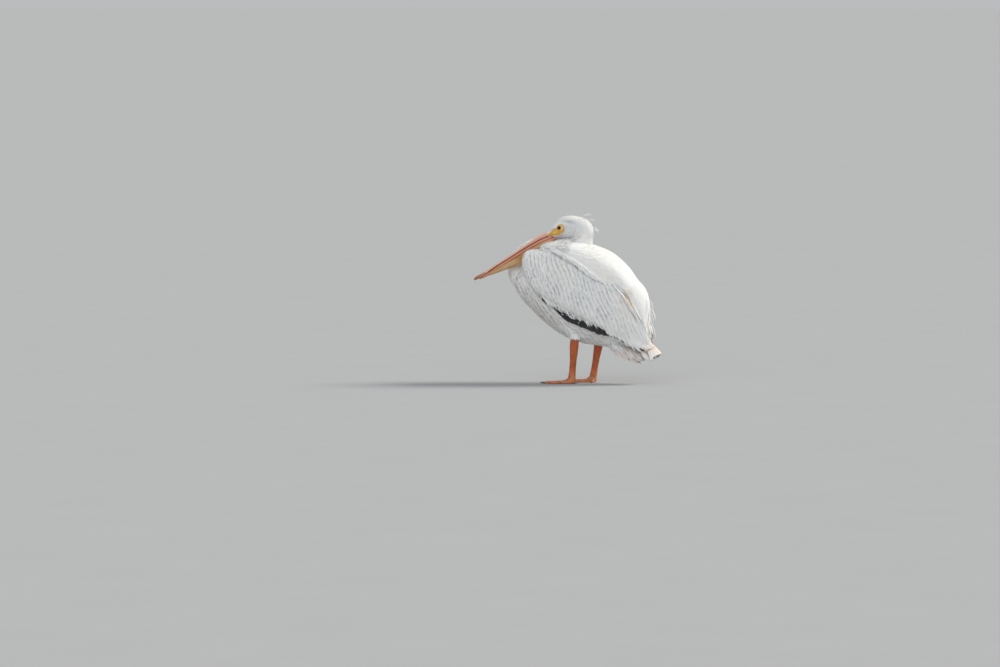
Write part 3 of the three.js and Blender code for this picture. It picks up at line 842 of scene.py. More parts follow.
def laid(roots, shape, heads, length, width, lift, cling, shade=plain, ink=0.0, sway=0.12, pull=0.0):
    # Tufts laid over the body: each steps along its own heading, is held at its height above the body's
    # nearest point, and where the body falls away it carries straight on as far as cling lets it. Shade gives
    # the darkness of the partings at places in the drawing.
    random, count = roots["random"], len(roots["points"])
    spread = lambda value: np.broadcast_to(np.asarray(value, float), count)
    length, width, lift, cling = (spread(value) for value in (length, width, lift, cling))
    length = length * random.uniform(0.8, 1.16, count) * mm
    lift = lift * random.uniform(0.7, 1.12, count) * mm
    heads = heads + sway * random.normal(size=(count, 3))
    heads = unit(heads - roots["out"] * np.sum(heads * roots["out"], 1, keepdims=True))
    pull = spread(pull)[:, None]
    heads = unit(heads + np.cross(roots["out"], heads) * pull)
    knots = tuftShapes[shape]["knots"]
    spine, outs = [roots["points"] - roots["out"] * 0.6 * mm], [roots["out"]]
    for before, now in zip(knots, knots[1:]):
        onward = spine[-1] + heads * (length * (now - before))[:, None]
        near, up = onSurface(onward, ground)
        height = np.sum((onward - near) * up, 1)
        wanted = lift * math.sin(min(now / 0.7, 1) * math.pi / 2)
        hold = np.where(height > wanted, cling, 1.0)
        placed = onward + up * ((wanted - height) * hold)[:, None]
        heads = unit(placed - spine[-1])
        heads = unit(heads - up * (np.sum(heads * up, 1) * hold)[:, None])
        spine.append(placed)
        outs.append(unit(up * 0.6 + outs[-1] * 0.4 - np.cross(up, heads) * pull * shading["lock"]))
    return {"shape": shape, "spine": np.stack(spine), "outs": np.stack(outs), "bakeAt": roots["bakeAt"],
            "width": width * random.uniform(0.85, 1.15, count) * mm, "tone": 0.5 * random.normal(size=count),
            "shade": np.stack([shade(inDrawing(points)) for points in spine]), "ink": spread(ink)}


def carried(shape, start, tip, out, bend, width, ink, bakeAt, random):
    # feathers carried from start to tip in the row's metres, bowed out by bend mm in the middle
    t = np.array(tuftShapes[shape]["knots"])[:, None, None]
    spine = start * (1 - t) + tip * t + out * (4 * bend * mm * t * (1 - t))
    count = len(start)
    return {"shape": shape, "spine": spine, "outs": np.broadcast_to(out, spine.shape), "bakeAt": bakeAt,
            "width": width * random.uniform(0.88, 1.14, count) * mm, "tone": 0.5 * random.normal(size=count),
            "shade": np.zeros(spine.shape[:2]), "ink": np.full(count, ink)}


def tuftMesh(batch):
    # Each tuft is closed: a point at the root, rings of left edge, ridge and right edge, and a point at the
    # tip. Its patch on the bake's map holds the three walls side by side at the place of its root. The upper
    # walls are shaded as the coat they lie in, the lower one the other way.
    shape = tuftShapes[batch["shape"]]
    spine, outs = batch["spine"], batch["outs"]
    count, rings = spine.shape[1], len(shape["widths"])
    side = unit(np.cross((spine[-1] - spine[0])[None], outs))
    half = np.array(shape["widths"])[:, None, None] * batch["width"][None, :, None] / 2
    middle, up, aside = spine[1:-1], outs[1:-1], side[1:-1]
    fall, rise = (up * half * 2 * shape[key] for key in ("droop", "thick"))
    body = np.stack([middle - aside * half - fall, middle + rise, middle + aside * half - fall], 1)
    whole = lambda ends, ring: np.concatenate(
        [ends[:1], ring.reshape(3 * rings, count, 3), ends[-1:]]).transpose(1, 0, 2)
    points = whole(spine, body)
    above = unit(whole(outs, np.stack([up - aside * shading["tuft"], up, up + aside * shading["tuft"]], 1)))
    ring = 1 + 3 * np.arange(rings)
    quads, triangles, quadMap, triangleMap = [], [], [], []
    knots, tip, strips = shape["knots"], 1 + 3 * rings, (0, 0.4, 0.8, 1.0)
    for j in range(3):
        k, low, high = (j + 1) % 3, strips[j], strips[j + 1]
        triangles += [(0, ring[0] + k, ring[0] + j), (ring[-1] + j, ring[-1] + k, tip)]
        triangleMap += [((low + high) / 2, knots[0]), (high, knots[1]), (low, knots[1])]
        triangleMap += [(low, knots[-2]), (high, knots[-2]), ((low + high) / 2, knots[-1])]
        for n in range(rings - 1):
            quads.append((ring[n] + j, ring[n] + k, ring[n + 1] + k, ring[n + 1] + j))
            quadMap += [(low, knots[n + 1]), (high, knots[n + 1]), (high, knots[n + 2]), (low, knots[n + 2])]
    made = {"points": points.reshape(-1, 3), "bakeAt": batch["bakeAt"][:, None, :],
            "reach": np.tile(np.concatenate([[knots[0]], np.repeat(knots[1:-1], 3), [knots[-1]]]), count),
            "line": np.tile(np.concatenate([[0], np.tile([2, 1, 3], rings), [0]]), count)}
    made |= {key: np.repeat(batch[key], points.shape[1]) for key in ("tone", "ink")}
    shade = batch["shade"]
    made["shade"] = np.concatenate([shade[:1], np.repeat(shade[1:-1], 3, axis=0), shade[-1:]]).T.ravel()
    first = np.arange(count)[:, None, None] * points.shape[1]
    for key, corners, places in (("quads", quads, quadMap), ("triangles", triangles, triangleMap)):
        corners = np.array(corners)
        way = np.repeat([1.0, 1.0, -1.0], len(corners) // 3)[:, None, None]
        made[key] = (corners[None] + first).reshape(-1, corners.shape[1])
        made[key + "Map"] = np.broadcast_to(np.array(places)[None], (count, len(places), 2))
        made[key + "Way"] = (above[:, corners] * way[None]).reshape(-1, 3)
    return made


def coatPiece(name, batches, slotName="plumage", patch=0.003):
    # batches of tufts as one mesh, with the numbers and maps that its material and the bake read, and with
    # the edges that run along a tuft, and those at its root and tip, marked sharp
    made = [tuftMesh(batch) for batch in batches]
    firsts = np.cumsum([0] + [len(m["points"]) for m in made])
    whole = lambda key: np.concatenate([m[key] for m in made])
    quads, triangles = (np.vstack([m[key] + first for m, first in zip(made, firsts)])
                        for key in ("quads", "triangles"))
    mesh = meshOf(name, whole("points"), quads, triangles)
    for key in ("tone", "shade", "ink", "reach"):
        marked(mesh, key, whole(key))
    pairs = [(m, key) for key in ("quads", "triangles") for m in made]
    for layer, maps in (("OFBake", [m["bakeAt"] + patch * m[key + "Map"] for m, key in pairs]),
                        ("vane", [m[key + "Map"] for m, key in pairs])):
        flat = np.concatenate([part.reshape(-1, 2) for part in maps]).astype(np.float32)
        mesh.uv_layers.new(name=layer).data.foreach_set("uv", flat.ravel())
    ways = np.concatenate([m[key + "Way"] for m, key in pairs]).astype(np.float32)
    mesh.attributes.new("custom_normal", "FLOAT_VECTOR", "CORNER").data.foreach_set("vector", ways.ravel())
    ends = np.empty(2 * len(mesh.edges), np.int32)
    mesh.edges.foreach_get("vertices", ends)
    first, second = whole("line")[ends].reshape(-1, 2).T
    creased = (first == second) | (first * second == 0)
    mesh.attributes.new("sharp_edge", "BOOLEAN", "EDGE").data.foreach_set("value", creased)
    mesh.update()
    print(name, len(whole("bakeAt")), "feathers", len(quads) * 2 + len(triangles), "triangles")
    return onBird(pieceOf(name, mesh), slotName)


# Millimetres between feathers, their length and width, and their height above the body. Of two lengths,
# widths or heights, the first is for the front of head, breast and back, the rear of neck and ruff, and the
# top of wing and thigh. lie is in degrees below level, at the front and the rear of the wing, and over is how
# far past the edge the tips end, between the locks and on them.
coatLook = {
    "head": {"spacing": 2.5, "length": (5, 17), "beard": 8, "width": (1.7, 2.8), "lift": (0.9, 2.2)},
    "neck": {"spacing": 4.2, "length": (16, 26), "width": 4.0, "lift": 3.4},
    "breast": {"spacing": 5.3, "length": (30, 48), "width": 5.2, "lift": 4.0},
    "mantle": {"spacing": 5.9, "length": (30, 60), "width": (7, 11), "lift": 4.2},
    "ruff": {"spacing": 3.6, "length": (26, 20), "width": 3.0, "lift": (14, 6)},
    "border": {"count": 96, "above": 20, "top": 530, "length": 56, "width": 8.5, "lift": 8.0},
    "rump": {"count": 64, "length": 62, "width": 10, "lift": 5.0},
    "wing": {"spacing": 3.9, "length": (26, 62), "width": (3.6, 5.0), "lift": 2.4, "rise": 4.0,
             "lie": (80, 66), "over": (-12, 27), "rear": 30},
    "underTail": {"spacing": 4.4, "length": 84, "width": 5.0, "lift": 4.4, "over": (-10, 18), "between": 210},
    "thigh": {"spacing": 3.8, "length": (14, 34), "width": 3.8, "lift": 3.0},
    "garter": {"count": 90, "radius": 11.5, "flare": 1.35, "ends": (-28, -17), "width": 4.0},
}
lockLook = {  # degrees the locks lie below level, mm across one, mm along one bend
    "breast": (66, 17, 32), "wing": (70, 15, 41), "fingers": (68, 14, 60), "underTail": (63, 12, 26),
}
wisps = [  # loose plumes of the crest: where they start, where they end, how many
    ((0, -2, 646), (0, 34, 658), 9), ((0, 43, 606), (4, 64, 590), 9), ((0, 25, 636), (2, 48, 632), 5)]


def headCoat():
    # short down, longer behind, none on the bare skin, a beard under the cheek, and the crest
    look = coatLook["head"]
    roots = rootsOn(["head"], look["spacing"], 1)
    bare = np.zeros(len(roots["points"]), bool)
    for hand in hands.values():
        away, turn, outward = aboutEye(roots["points"], hand)
        bare |= (outward > 4) & (away < bareReach(turn))
    roots = only(roots, ~bare)
    y, z = roots["place"][:, 1], roots["place"][:, 2]
    back, cheek = ease(y, -120, 20), ease(-z, -584, -570)
    heads = roots["along"] + vectors(0, 0, -1.3 * ease(y, -60, 30))
    heads = heads + vectors(0, 0, -0.8 * cheek)
    length, width, lift = (blend(look[key], back) for key in ("length", "width", "lift"))
    coat = laid(roots, "down", heads, length + look["beard"] * cheek, width, lift,
                (0.8 - 0.5 * back) * (1 - 0.6 * cheek), sway=blend((0.12, 0.3), back)[:, None])
    random = np.random.default_rng(2)
    starts, tips, counts = zip(*wisps)
    start, tip = (inRow(turned(np.repeat(places, counts, 0) + random.normal(0, wide, (sum(counts), 3))))
                  for places, wide in ((starts, 3.0), (tips, 4.0)))
    crest = carried("plume", start, tip, np.tile([0.0, 0.3, 0.95], (len(start), 1)), 2.5, 1.9, 0.0,
                    random.uniform(0.9, 0.98, (len(start), 2)), random)
    return coatPiece("headFeathers", [coat, crest])


def wingEdgeShadow(place):
    # painted shadow along the front edge of the wing: 1 right against it, fading out over 14 mm
    y, z = place[:, 1], place[:, 2]
    return (1 - ease(np.abs(edgeAt("wing", y) - z) * 0.7, 3, 13)) * ease(np.abs(place[:, 0]), 60, 84)


def breastShade(place):
    # partings down the front and the side of the breast, and the shadow of the wing
    partingShade = 0.7 * locks(place, *lockLook["breast"])[1]
    return np.maximum(partingShade * ease(np.abs(place[:, 0]), 15, 50), wingEdgeShadow(place))


def neckCoat():
    # down the neck, hanging lower and gathered into locks on the breast
    look = coatLook["neck"]
    roots = rootsOn(["neckUpper", "neckMiddle", "neckLower"], look["spacing"], 10)
    front = ease(-roots["place"][:, 1], 60, 240)
    low = ease(-roots["place"][:, 2], -500, -400) * front
    heads = roots["along"] + np.array([0, 0.15, -0.6]) * low[:, None]
    pull, _, rise = locks(roots["place"], *lockLook["breast"])
    shade = lambda place: breastShade(place) * ease(-place[:, 2], -500, -440)
    coat = laid(roots, "plume", heads, blend(look["length"], front), look["width"],
                look["lift"] * (1 + 0.5 * rise * low), 0.7, pull=-0.35 * pull * low, sway=0.14, shade=shade)
    return coatPiece("neckFeathers", [coat])


def garter(side, random):
    # two rings of feathers that hang over the top of the bare leg
    look, count = coatLook["garter"], coatLook["garter"]["count"]
    middle = np.array(shankForm(side)["stations"][1][:3]) - [0, 1, 4]
    angle = 2 * np.pi * (np.arange(count) + random.uniform(-0.3, 0.3, count)) / count * 2
    ways = vectors(np.cos(angle), np.sin(angle), 0)
    ring = ways * [1.0, 1.35, 0] * look["radius"]
    start, tip = (middle + ring * flare + random.uniform(*levels, (count, 1)) * [0, 0, 1]
                  for flare, levels in ((1, (0, 12)), (look["flare"], look["ends"])))
    place = np.stack([0.05 + 0.9 * random.random(count), np.full(count, 0.53 + 0.02 * hands[side])], -1)
    return carried("plume", inRow(start), inRow(tip), ways, 2.0, look["width"], 0.0, place * [1, 0.5], random)


def breastCoat():
    # breast, belly and flanks, the thighs and the garters
    look, thigh, random = coatLook["breast"], coatLook["thigh"], np.random.default_rng(26)
    roots = rootsOn(["trunk"], look["spacing"], 20)
    front = ease(-roots["place"][:, 1], 0, 200)
    heads = roots["along"] + np.array([0, 0, -0.7]) * front[:, None]
    pull, _, rise = locks(roots["place"], *lockLook["breast"])
    aside = ease(np.abs(roots["out"][:, 0]), 0.1, 0.6)
    # painted shadow: the breast's feathers against the wing's front edge are darkened towards black
    ink = 0.45 * wingEdgeShadow(roots["place"]) * ease(-roots["place"][:, 2], -480, -400)
    trunk = laid(roots, "plume", heads, blend(look["length"], 1 - front), look["width"],
                 look["lift"] * (0.8 + 0.6 * rise), 0.6, pull=-0.35 * pull * aside, shade=breastShade,
                 ink=ink)
    roots = rootsOn([f"thigh_{side}" for side in hands], thigh["spacing"], 24)
    low = ease(-roots["place"][:, 2], -230, -185)
    thighs = laid(roots, "plume", roots["along"] + [0, 0, -0.6], blend(thigh["length"], low), thigh["width"],
                  thigh["lift"], 0.6 - 0.35 * low)
    thighs["bakeAt"] = thighs["bakeAt"] * [1, 0.5]
    trunk["bakeAt"] = trunk["bakeAt"] * [1, 0.7] + [0, 0.3]
    return coatPiece("breastFeathers", [trunk, thighs, *(garter(side, random) for side in hands)])


def underTailCoat():
    # plumes under the tail, and loose ones that fill the space between them and the tail
    look = coatLook["underTail"]
    roots = rootsOn(["underTail"], look["spacing"], 30)
    place, out = roots["place"], roots["out"]
    heads = unit(vectors(0.3 * out[:, 0], 0.45, -0.85))
    pull, _, rise = locks(place, *lockLook["underTail"])
    over = blend(look["over"], rise) + roots["random"].uniform(-5, 5, len(rise))
    length = trimmed(np.full(len(rise), float(look["length"])), place, heads, "plume", over)
    shade = lambda place: 0.5 * locks(place, *lockLook["underTail"])[1]
    coat = laid(roots, "lance", heads, length, look["width"], look["lift"] * (0.6 + rise), 0.15,
                pull=-0.3 * pull, sway=0.07, shade=shade)
    coat["outs"] = unit(coat["outs"] + [0, 0.1, 0.35])
    coat["bakeAt"] = coat["bakeAt"] * [1, 0.7] + [0, 0.3]
    count, random = look["between"], np.random.default_rng(33)
    across, back = np.sin(random.uniform(-1.57, 1.57, count)), random.random(count)
    start = vectors(38 * across, 222 + 14 * back, 178 - 26 * back)
    tip = vectors(52 * across, 264 + 30 * back - 6 * across**2,
                  92 + 16 * (1 - back) ** 2 + random.uniform(-3, 8, count))
    between = carried("lance", inRow(start), inRow(tip), unit(vectors(2.2 * across, 0.5, 0.1)), 3.0, 6.5, 0.0,
                      np.stack([0.5 + 0.45 * across, 0.02 + 0.2 * back], -1), random)
    return coatPiece("underTailFeathers", [coat, between])


def overBack(place, out):
    # the lie of the back's feathers: backwards and down, and straight down over the rump
    rump = ease(place[:, 1], 170, 250)
    return vectors(0.15 * out[:, 0], 0.85 - 0.5 * rump, -0.45 - 0.5 * rump)


def rowOf(points, random, bakeRow, way=0):
    # Roots listed by their places: each slides along one axis until it lies on the body.
    points = inRow(points)
    for _ in range(6):
        near, out = onSurface(points, ground)
        points = np.where(np.arange(3) == way, near, points)
    share = np.arange(len(points)) / len(points)
    return {"points": near, "out": out, "place": inDrawing(near), "random": random,
            "bakeAt": np.stack([0.53 + 0.45 * share, np.full(len(points), bakeRow)], -1)}


def borderRow(side, random):
    # the last row of the back's feathers, hanging over the wing along the edge between them
    look, hand = coatLook["border"], hands[side]
    y = np.linspace(-150, 225, look["count"]) + random.uniform(-2, 2, look["count"])
    z = np.minimum(edgeAt("scapular", y) + look["above"], look["top"]) + random.uniform(-4, 4, look["count"])
    roots = rowOf(vectors(220.0 * hand, y, z), random, 0.75 + 0.1 * hand)
    heads = unit(vectors(0, 1, np.gradient(edgeAt("scapular", y), y))) + [0, 0, -0.26]
    front = ease(-y, 60, 140)
    return laid(roots, "lance", heads, look["length"] * (1 - 0.35 * front), look["width"],
                look["lift"] * (1 - 0.6 * front), 0.6, sway=0.06)


def rumpRow(random):
    # long feathers that run from the rump over the root of the tail
    look = coatLook["rump"]
    x = random.uniform(-44, 44, look["count"])
    level = random.uniform(212, 285, look["count"])
    roots = rowOf(vectors(x, 330, level), random, 0.97, way=1)
    heads = vectors(0.004 * x, 0.35, -0.93)
    return laid(roots, "lance", heads, look["length"], look["width"], look["lift"], 0.85, sway=0.06)


def ruffBatch():
    # short pointed feathers that stand up along the front of the back, before the bill
    look = coatLook["ruff"]
    roots = rootsOn(["mantle"], look["spacing"], 43)
    place, out = roots["place"], roots["out"]
    roots = only(roots, (place[:, 1] < -22) & (out[:, 2] > -0.8) & (place[:, 2] > 522))
    y = roots["place"][:, 1]
    front, last = 1 - ease(y, -120, -55), 1 - 0.7 * ease(y, -56, -24)
    aside = np.where(roots["place"][:, :1] < 0, [-1.0, 1, 1], 1.0)
    heads = aside * vectors(0.1, 0.1 * front + 0.8 * (1 - front), front)
    roots["bakeAt"] = roots["bakeAt"] * [0.45, 0.3] + [0.52, 0.52]
    roots["out"] = unit(roots["out"] * (1 - 0.6 * front[:, None]) + aside * [0.6, -0.3, 0] * front[:, None])
    return laid(roots, "lance", heads, blend(look["length"], front) * last, look["width"],
                blend(look["lift"], front) * last, 0.3, sway=0.2)


def mantleCoat():
    # the back's broad feathers, the ruff, and the rows that end over the wings and the tail
    look, random = coatLook["mantle"], np.random.default_rng(45)
    roots = rootsOn(["mantle", "wing_left", "wing_right"], look["spacing"], 40)
    place, out = roots["place"], roots["out"]
    roots = only(roots, (place[:, 2] > edgeAt("scapular", place[:, 1]) + 2) & (out[:, 2] > -0.3))
    rear = ease(roots["place"][:, 1], 20, 200)
    coat = laid(roots, "scale", overBack(roots["place"], roots["out"]), blend(look["length"], rear),
                blend(look["width"], rear), look["lift"], 0.55, sway=0.07)
    borders = [borderRow(side, random) for side in hands]
    return coatPiece("mantleFeathers", [coat, ruffBatch(), *borders, rumpRow(random)])


def downWing(y, z):
    # how far below the back's feathers, in mm and as a share of the wing's own feathers there
    below = edgeAt("scapular", y) - z
    return below, below / np.maximum(edgeAt("scapular", y) - edgeAt("covert", y), 20)


def wingShade(place):
    # partings all down the wing, none on the shoulder, and a broken shadow under the back's feathers
    y, z = place[:, 1], place[:, 2]
    below, down = downWing(y, z)
    shoulder = ease(z - 0.35 * y, 510, 560)
    uneven = 0.68 + 0.42 * np.sin(y / 23 + z / 47) * np.sin(y / 61 - z / 29)
    edge = ease(below, -12, -4) * (1 - ease(below, 3, 11)) * ease(y, -140, -90)
    fading = (0.5 + 0.5 * ease(down, 0.1, 0.55)) * (1 - 0.8 * shoulder) * (1 - 0.5 * ease(y, 150, 220))
    partingShade = locks(place, *lockLook["wing"])[1] * uneven * fading
    return np.maximum(partingShade, edge * (0.75 + 0.35 * np.sin(y / 7) * np.sin(y / 17 + 1)))


def wingCoat(side):
    # the small feathers of the wing and, as a second piece, the long ones that hang over the flight feathers
    look, hand = coatLook["wing"], hands[side]
    roots = rootsOn([f"wing_{side}", "mantle", "trunk"], look["spacing"], 50 + hand)
    place, out, onWing = roots["place"], roots["out"], (roots["bakeAt"] < 0.5).all(1)
    outward, y, z = hand * place[:, 0], place[:, 1], place[:, 2]
    keep = (z < edgeAt("scapular", y) + 6) & (hand * out[:, 0] > -0.35) & (outward > 20) & (out[:, 2] > -0.75)
    keep &= (onWing & (z > edgeAt("covert", y) + 13)) | ((z > edgeAt("covert", y) + 20) & (outward > 60))
    roots = only(roots, keep)
    y, z = roots["place"][:, 1], roots["place"][:, 2]
    down = np.clip(downWing(y, z)[1], 0, 1)
    rear, low = ease(y, 120, 220), ease(down, 0.6, 0.9)
    lie = blend(look["lie"], ease(y, -160, 160)) - 9 * ease(down, 0.6, 1) - 10 * (1 - ease(down, 0, 0.25))
    heads = vectors(0, np.cos(np.radians(lie)), -np.sin(np.radians(lie)))
    pull, _, rise = locks(roots["place"], *lockLook["wing"])
    fingers = ease(locks(roots["place"], *lockLook["fingers"])[2], 0.35, 0.65)
    over = blend(look["over"], fingers) - 7 * ease(y, 110, 170) + roots["random"].uniform(-7, 7, len(rise))
    length = blend(look["length"], ease(down, 0.05, 0.75)) + look["rear"] * rear
    length = trimmed(length, roots["place"], heads, "covert", over)
    width = blend(look["width"], down) * (1 + 0.5 * rear)
    lift, cling, pull = look["lift"] + look["rise"] * rise, 0.7 - 0.5 * low, -0.36 * (pull * (1 - 0.6 * low))
    pieces = []
    for name, group, shape in (("wingFeathers", down < 0.5, "plume"), ("wingCoverts", down >= 0.5, "lance")):
        sizes = (values[group] for values in (heads, length, width, lift, cling))
        batch = laid(only(roots, group), shape, *sizes, shade=wingShade, pull=pull[group], sway=0.08)
        pieces.append(coatPiece(f"{name}_{side}", [batch]))
    return pieces


flightRows = [  # count, start and end of the row of roots and of tips, how far above the edges, width in mm
    (34, (-128, 175), (-44, 259), (16, 4), 15, 0.3), (11, (95, 165), (190, 266), (6, 2), 9, 0.7)]


def flightVanes(side):
    # Black flight feathers: each runs back and down from under the coverts to the lower edge of the wing, on
    # the outside of the dark body that backs them. Outer ones lie over inner ones.
    hand, random = hands[side], np.random.default_rng(60 + hands[side])
    stations = np.array(forms[f"flight_{side}"]["stations"])
    outside = lambda y: hand * (np.interp(y, stations[:, 1], hand * stations[:, 0] + stations[:, 3]) - 2.2)
    batches = []
    for count, start, end, above, width, bakeRow in flightRows:
        share = np.arange(count) / (count - 1)
        yStart, yTip = (blend(pair, share) + random.uniform(-4, 4, count) for pair in (start, end))
        root = vectors(outside(yStart) - hand * 2, yStart, edgeAt("covert", yStart) + above[0])
        tip = vectors(outside(np.minimum(yTip, 250)) + hand * 1.6 * share, yTip,
                      edgeAt("flight", yTip) + random.uniform(0, above[1], count))
        out = unit(np.tile([hand * 1.0, 0.25, 0.12], (count, 1)))
        place = np.stack([0.05 + 0.9 * share, np.full(count, bakeRow)], -1)
        batches.append(carried("vane", inRow(root), inRow(tip), out, 2.0, width, 1.0, place, random))
    return coatPiece(f"flightFeathers_{side}", batches, "flight_feathers", 0.02)


tertialRows = [  # count, then where they start and end between two places: (back, up) for each, width, and share of black, which on the thin ones is painted shadow
    (9, ((140, 396), (196, 352)), ((200, 316), (246, 226)), 8, 0.0),
    (5, ((160, 386), (192, 358)), ((206, 300), (240, 244)), 2.8, 0.6),
    (6, ((200, 340), (226, 316)), ((246, 250), (268, 196)), 6, 0.0),
    (4, ((214, 322), (232, 298)), ((254, 232), (270, 184)), 2.4, 0.6),
]
loosePlumes = [  # back and up where each starts, then where it ends
    (276, 300, 291, 249), (270, 290, 283, 236), (272, 252, 294, 176), (266, 256, 284, 188),
    (270, 330, 286, 282)]


def tertials(side):
    # Long inner feathers of the wing lying over the rump: cream ones stained brown, thin ones between them
    # darkened as painted shadow lines, and loose ones whose ends stand off the rump.
    hand, random = hands[side], np.random.default_rng(80 + hands[side])
    batches = []
    for k, (count, starts, ends, width, ink) in enumerate(tertialRows):
        share = np.linspace(0, 1, count)[:, None]
        start, tip = (np.hstack([np.full((count, 1), 160.0 * hand), blend(np.array(pair, float), share)])
                      for pair in (starts, ends))
        roots, reached = (rowOf(points, random, 0.1 + 0.2 * k) for points in (start, tip))
        ways = reached["points"] - roots["points"]
        length = np.linalg.norm(ways, axis=1) / mm
        batches.append(laid(roots, "vane", unit(ways), length, width, 12 + ink, 0.35, ink=ink, sway=0.03))
    ends = np.array(loosePlumes, float) + random.normal(0, 2, (len(loosePlumes), 4))
    x = hand * random.uniform(4, 28, len(ends))
    start, tip = (inRow(vectors(x, ends[:, k] - 0.22 * np.abs(x), ends[:, k + 1])) for k in (0, 2))
    batches.append(carried("lance", start, tip, np.tile([0.0, 0.95, 0.3], (len(ends), 1)), 4.0, 5.0, 0.0,
                           random.uniform(0.9, 0.95, (len(ends), 2)), random))
    return batches


tailLook = {"count": 44, "half": 61, "width": 8, "reach": (0.88, 1.03), "rounded": 0.10, "under": 3.5}  # mm


def tailVanes():
    # the fan of the tail: vanes side by side along its arched middle surface, the middle ones on top, each
    # ending at its own length, and the same again below
    look, random = tailLook, np.random.default_rng(70)
    count, arch = look["count"], forms["tail"]["arch"]
    across = np.linspace(-1, 1, count)
    across = across[np.argsort(-np.abs(across))]
    t = np.array(tuftShapes["vane"]["knots"])[:, None]
    reach = (1 - look["rounded"] * across**2) * random.uniform(*look["reach"], count)
    centre = through(np.array(forms["tail"]["stations"])[:, :3], 0.12 + 0.86 * t * reach)
    x = across * look["half"] * (0.2 + 0.8 * t)
    up = unit(np.array([0.0, 0.70, 0.71]))
    layer = (1 - np.abs(across)) * 3.5 - 1 + random.uniform(-0.6, 0.6, count)
    spine = centre + vectors(x, 0, 0) + up * (layer - arch * x**2)[..., None]
    batch = {"shape": "vane", "spine": inRow(spine), "outs": unit(up + vectors(2 * arch * x, 0, 0)),
             "width": look["width"] * mm * random.uniform(0.8, 1.2, count),
             "tone": random.normal(0, 0.8, count), "ink": np.zeros(count),
             "shade": np.broadcast_to(random.uniform(0, 0.5, count), spine.shape[:2]),
             "bakeAt": np.stack([0.5 + 0.45 * across, np.full(count, 0.5)], -1)}
    under = dict(batch, spine=inRow(spine - up * look["under"])[:, ::-1], bakeAt=batch["bakeAt"] + [0, 0.2])
    return coatPiece("tailFeathers", [batch, under], "plumage", 0.03)


coats = [headCoat(), neckCoat(), breastCoat(), underTailCoat(), mantleCoat(),
         *(piece for side in hands for piece in wingCoat(side))]
coats.append(coatPiece("tertials", [batch for side in hands for batch in tertials(side)], patch=0.02))
flights = [flightVanes(side) for side in hands]
coats.append(tailVanes())
bpy.data.objects.remove(ground)


# finishes

plumageLook = {
    "white": (0.93, 0.925, 0.91), "cream": (0.88, 0.84, 0.76),
    # the bluish grey is painted shade in the partings; black stands in for shadow on the plumage
    "black": (0.012, 0.012, 0.015), "partingShade": (0.33, 0.37, 0.425),
    "marks": [  # middle, half sizes, soft edge, turn in degrees, colour, strength
        ((0, 10, 350), (200, 190, 105), 0.2, -35, (0.79, 0.84, 0.88), 0.6),  # painted bluish shade along the wing
        ((0, -150, 290), (170, 190, 170), 0.35, 0, (0.74, 0.69, 0.62), 0.6),  # painted warm shade on breast and belly, with light bounced up from the ground
        ((0, 190, 110), (90, 90, 62), 0.5, 0, (0.97, 0.83, 0.77), 1.0),  # under the tail
        ((0, 200, 350), (200, 52, 23), 0.1, -50, (0.74, 0.60, 0.45), 0.8),  # stained tertials
        ((0, 208, 325), (200, 12, 60), 0.1, -31.5, (0.72, 0.52, 0.26), 0.85),
        ((0, 226, 268), (200, 7, 44), 0.1, -27, (0.40, 0.31, 0.20), 0.6),
        ((0, 292, 132), (90, 42, 46), 0.4, 0, (0.90, 0.76, 0.68), 1.0),  # tail
        ((0, 262, 130), (90, 28, 20), 0.2, -30, (0.50, 0.33, 0.17), 1.0),  # brown at its root
    ],
    "headMarks": [
        ((0, -36, 596), (90, 64, 46), 0.6, 0, (0.77, 0.78, 0.785), 0.75),  # greyer than the body
        ((0, -46, 630), (60, 42, 12), 0.1, 6, (0.26, 0.32, 0.39), 0.9),  # dusky band over the eye
        ((0, -61, 607), (60, 14, 20), 0.2, 0, (0.62, 0.63, 0.78), 0.8),  # pale lilac behind the eye
        ((0, -40, 600), (60, 16, 24), 0.1, 0, (0.53, 0.58, 0.53), 0.75),
        ((0, -28, 590), (60, 9, 34), 0.0, 16, (0.38, 0.30, 0.26), 0.85),  # painted shade in a fold behind the cheek
        # painted shadow where the head meets the neck
        ((0, -12, 568), (60, 8, 27), 0.0, 52, (0.32, 0.22, 0.14), 0.85),
        ((0, -112, 599.5), (60, 22, 6), 0.1, -30, (0.38, 0.28, 0.37), 0.9),  # purple line before the eye
        ((0, -86, 574), (60, 34, 10), 0.1, -30, (0.74, 0.48, 0.56), 0.85),  # pink cheek
    ],
}


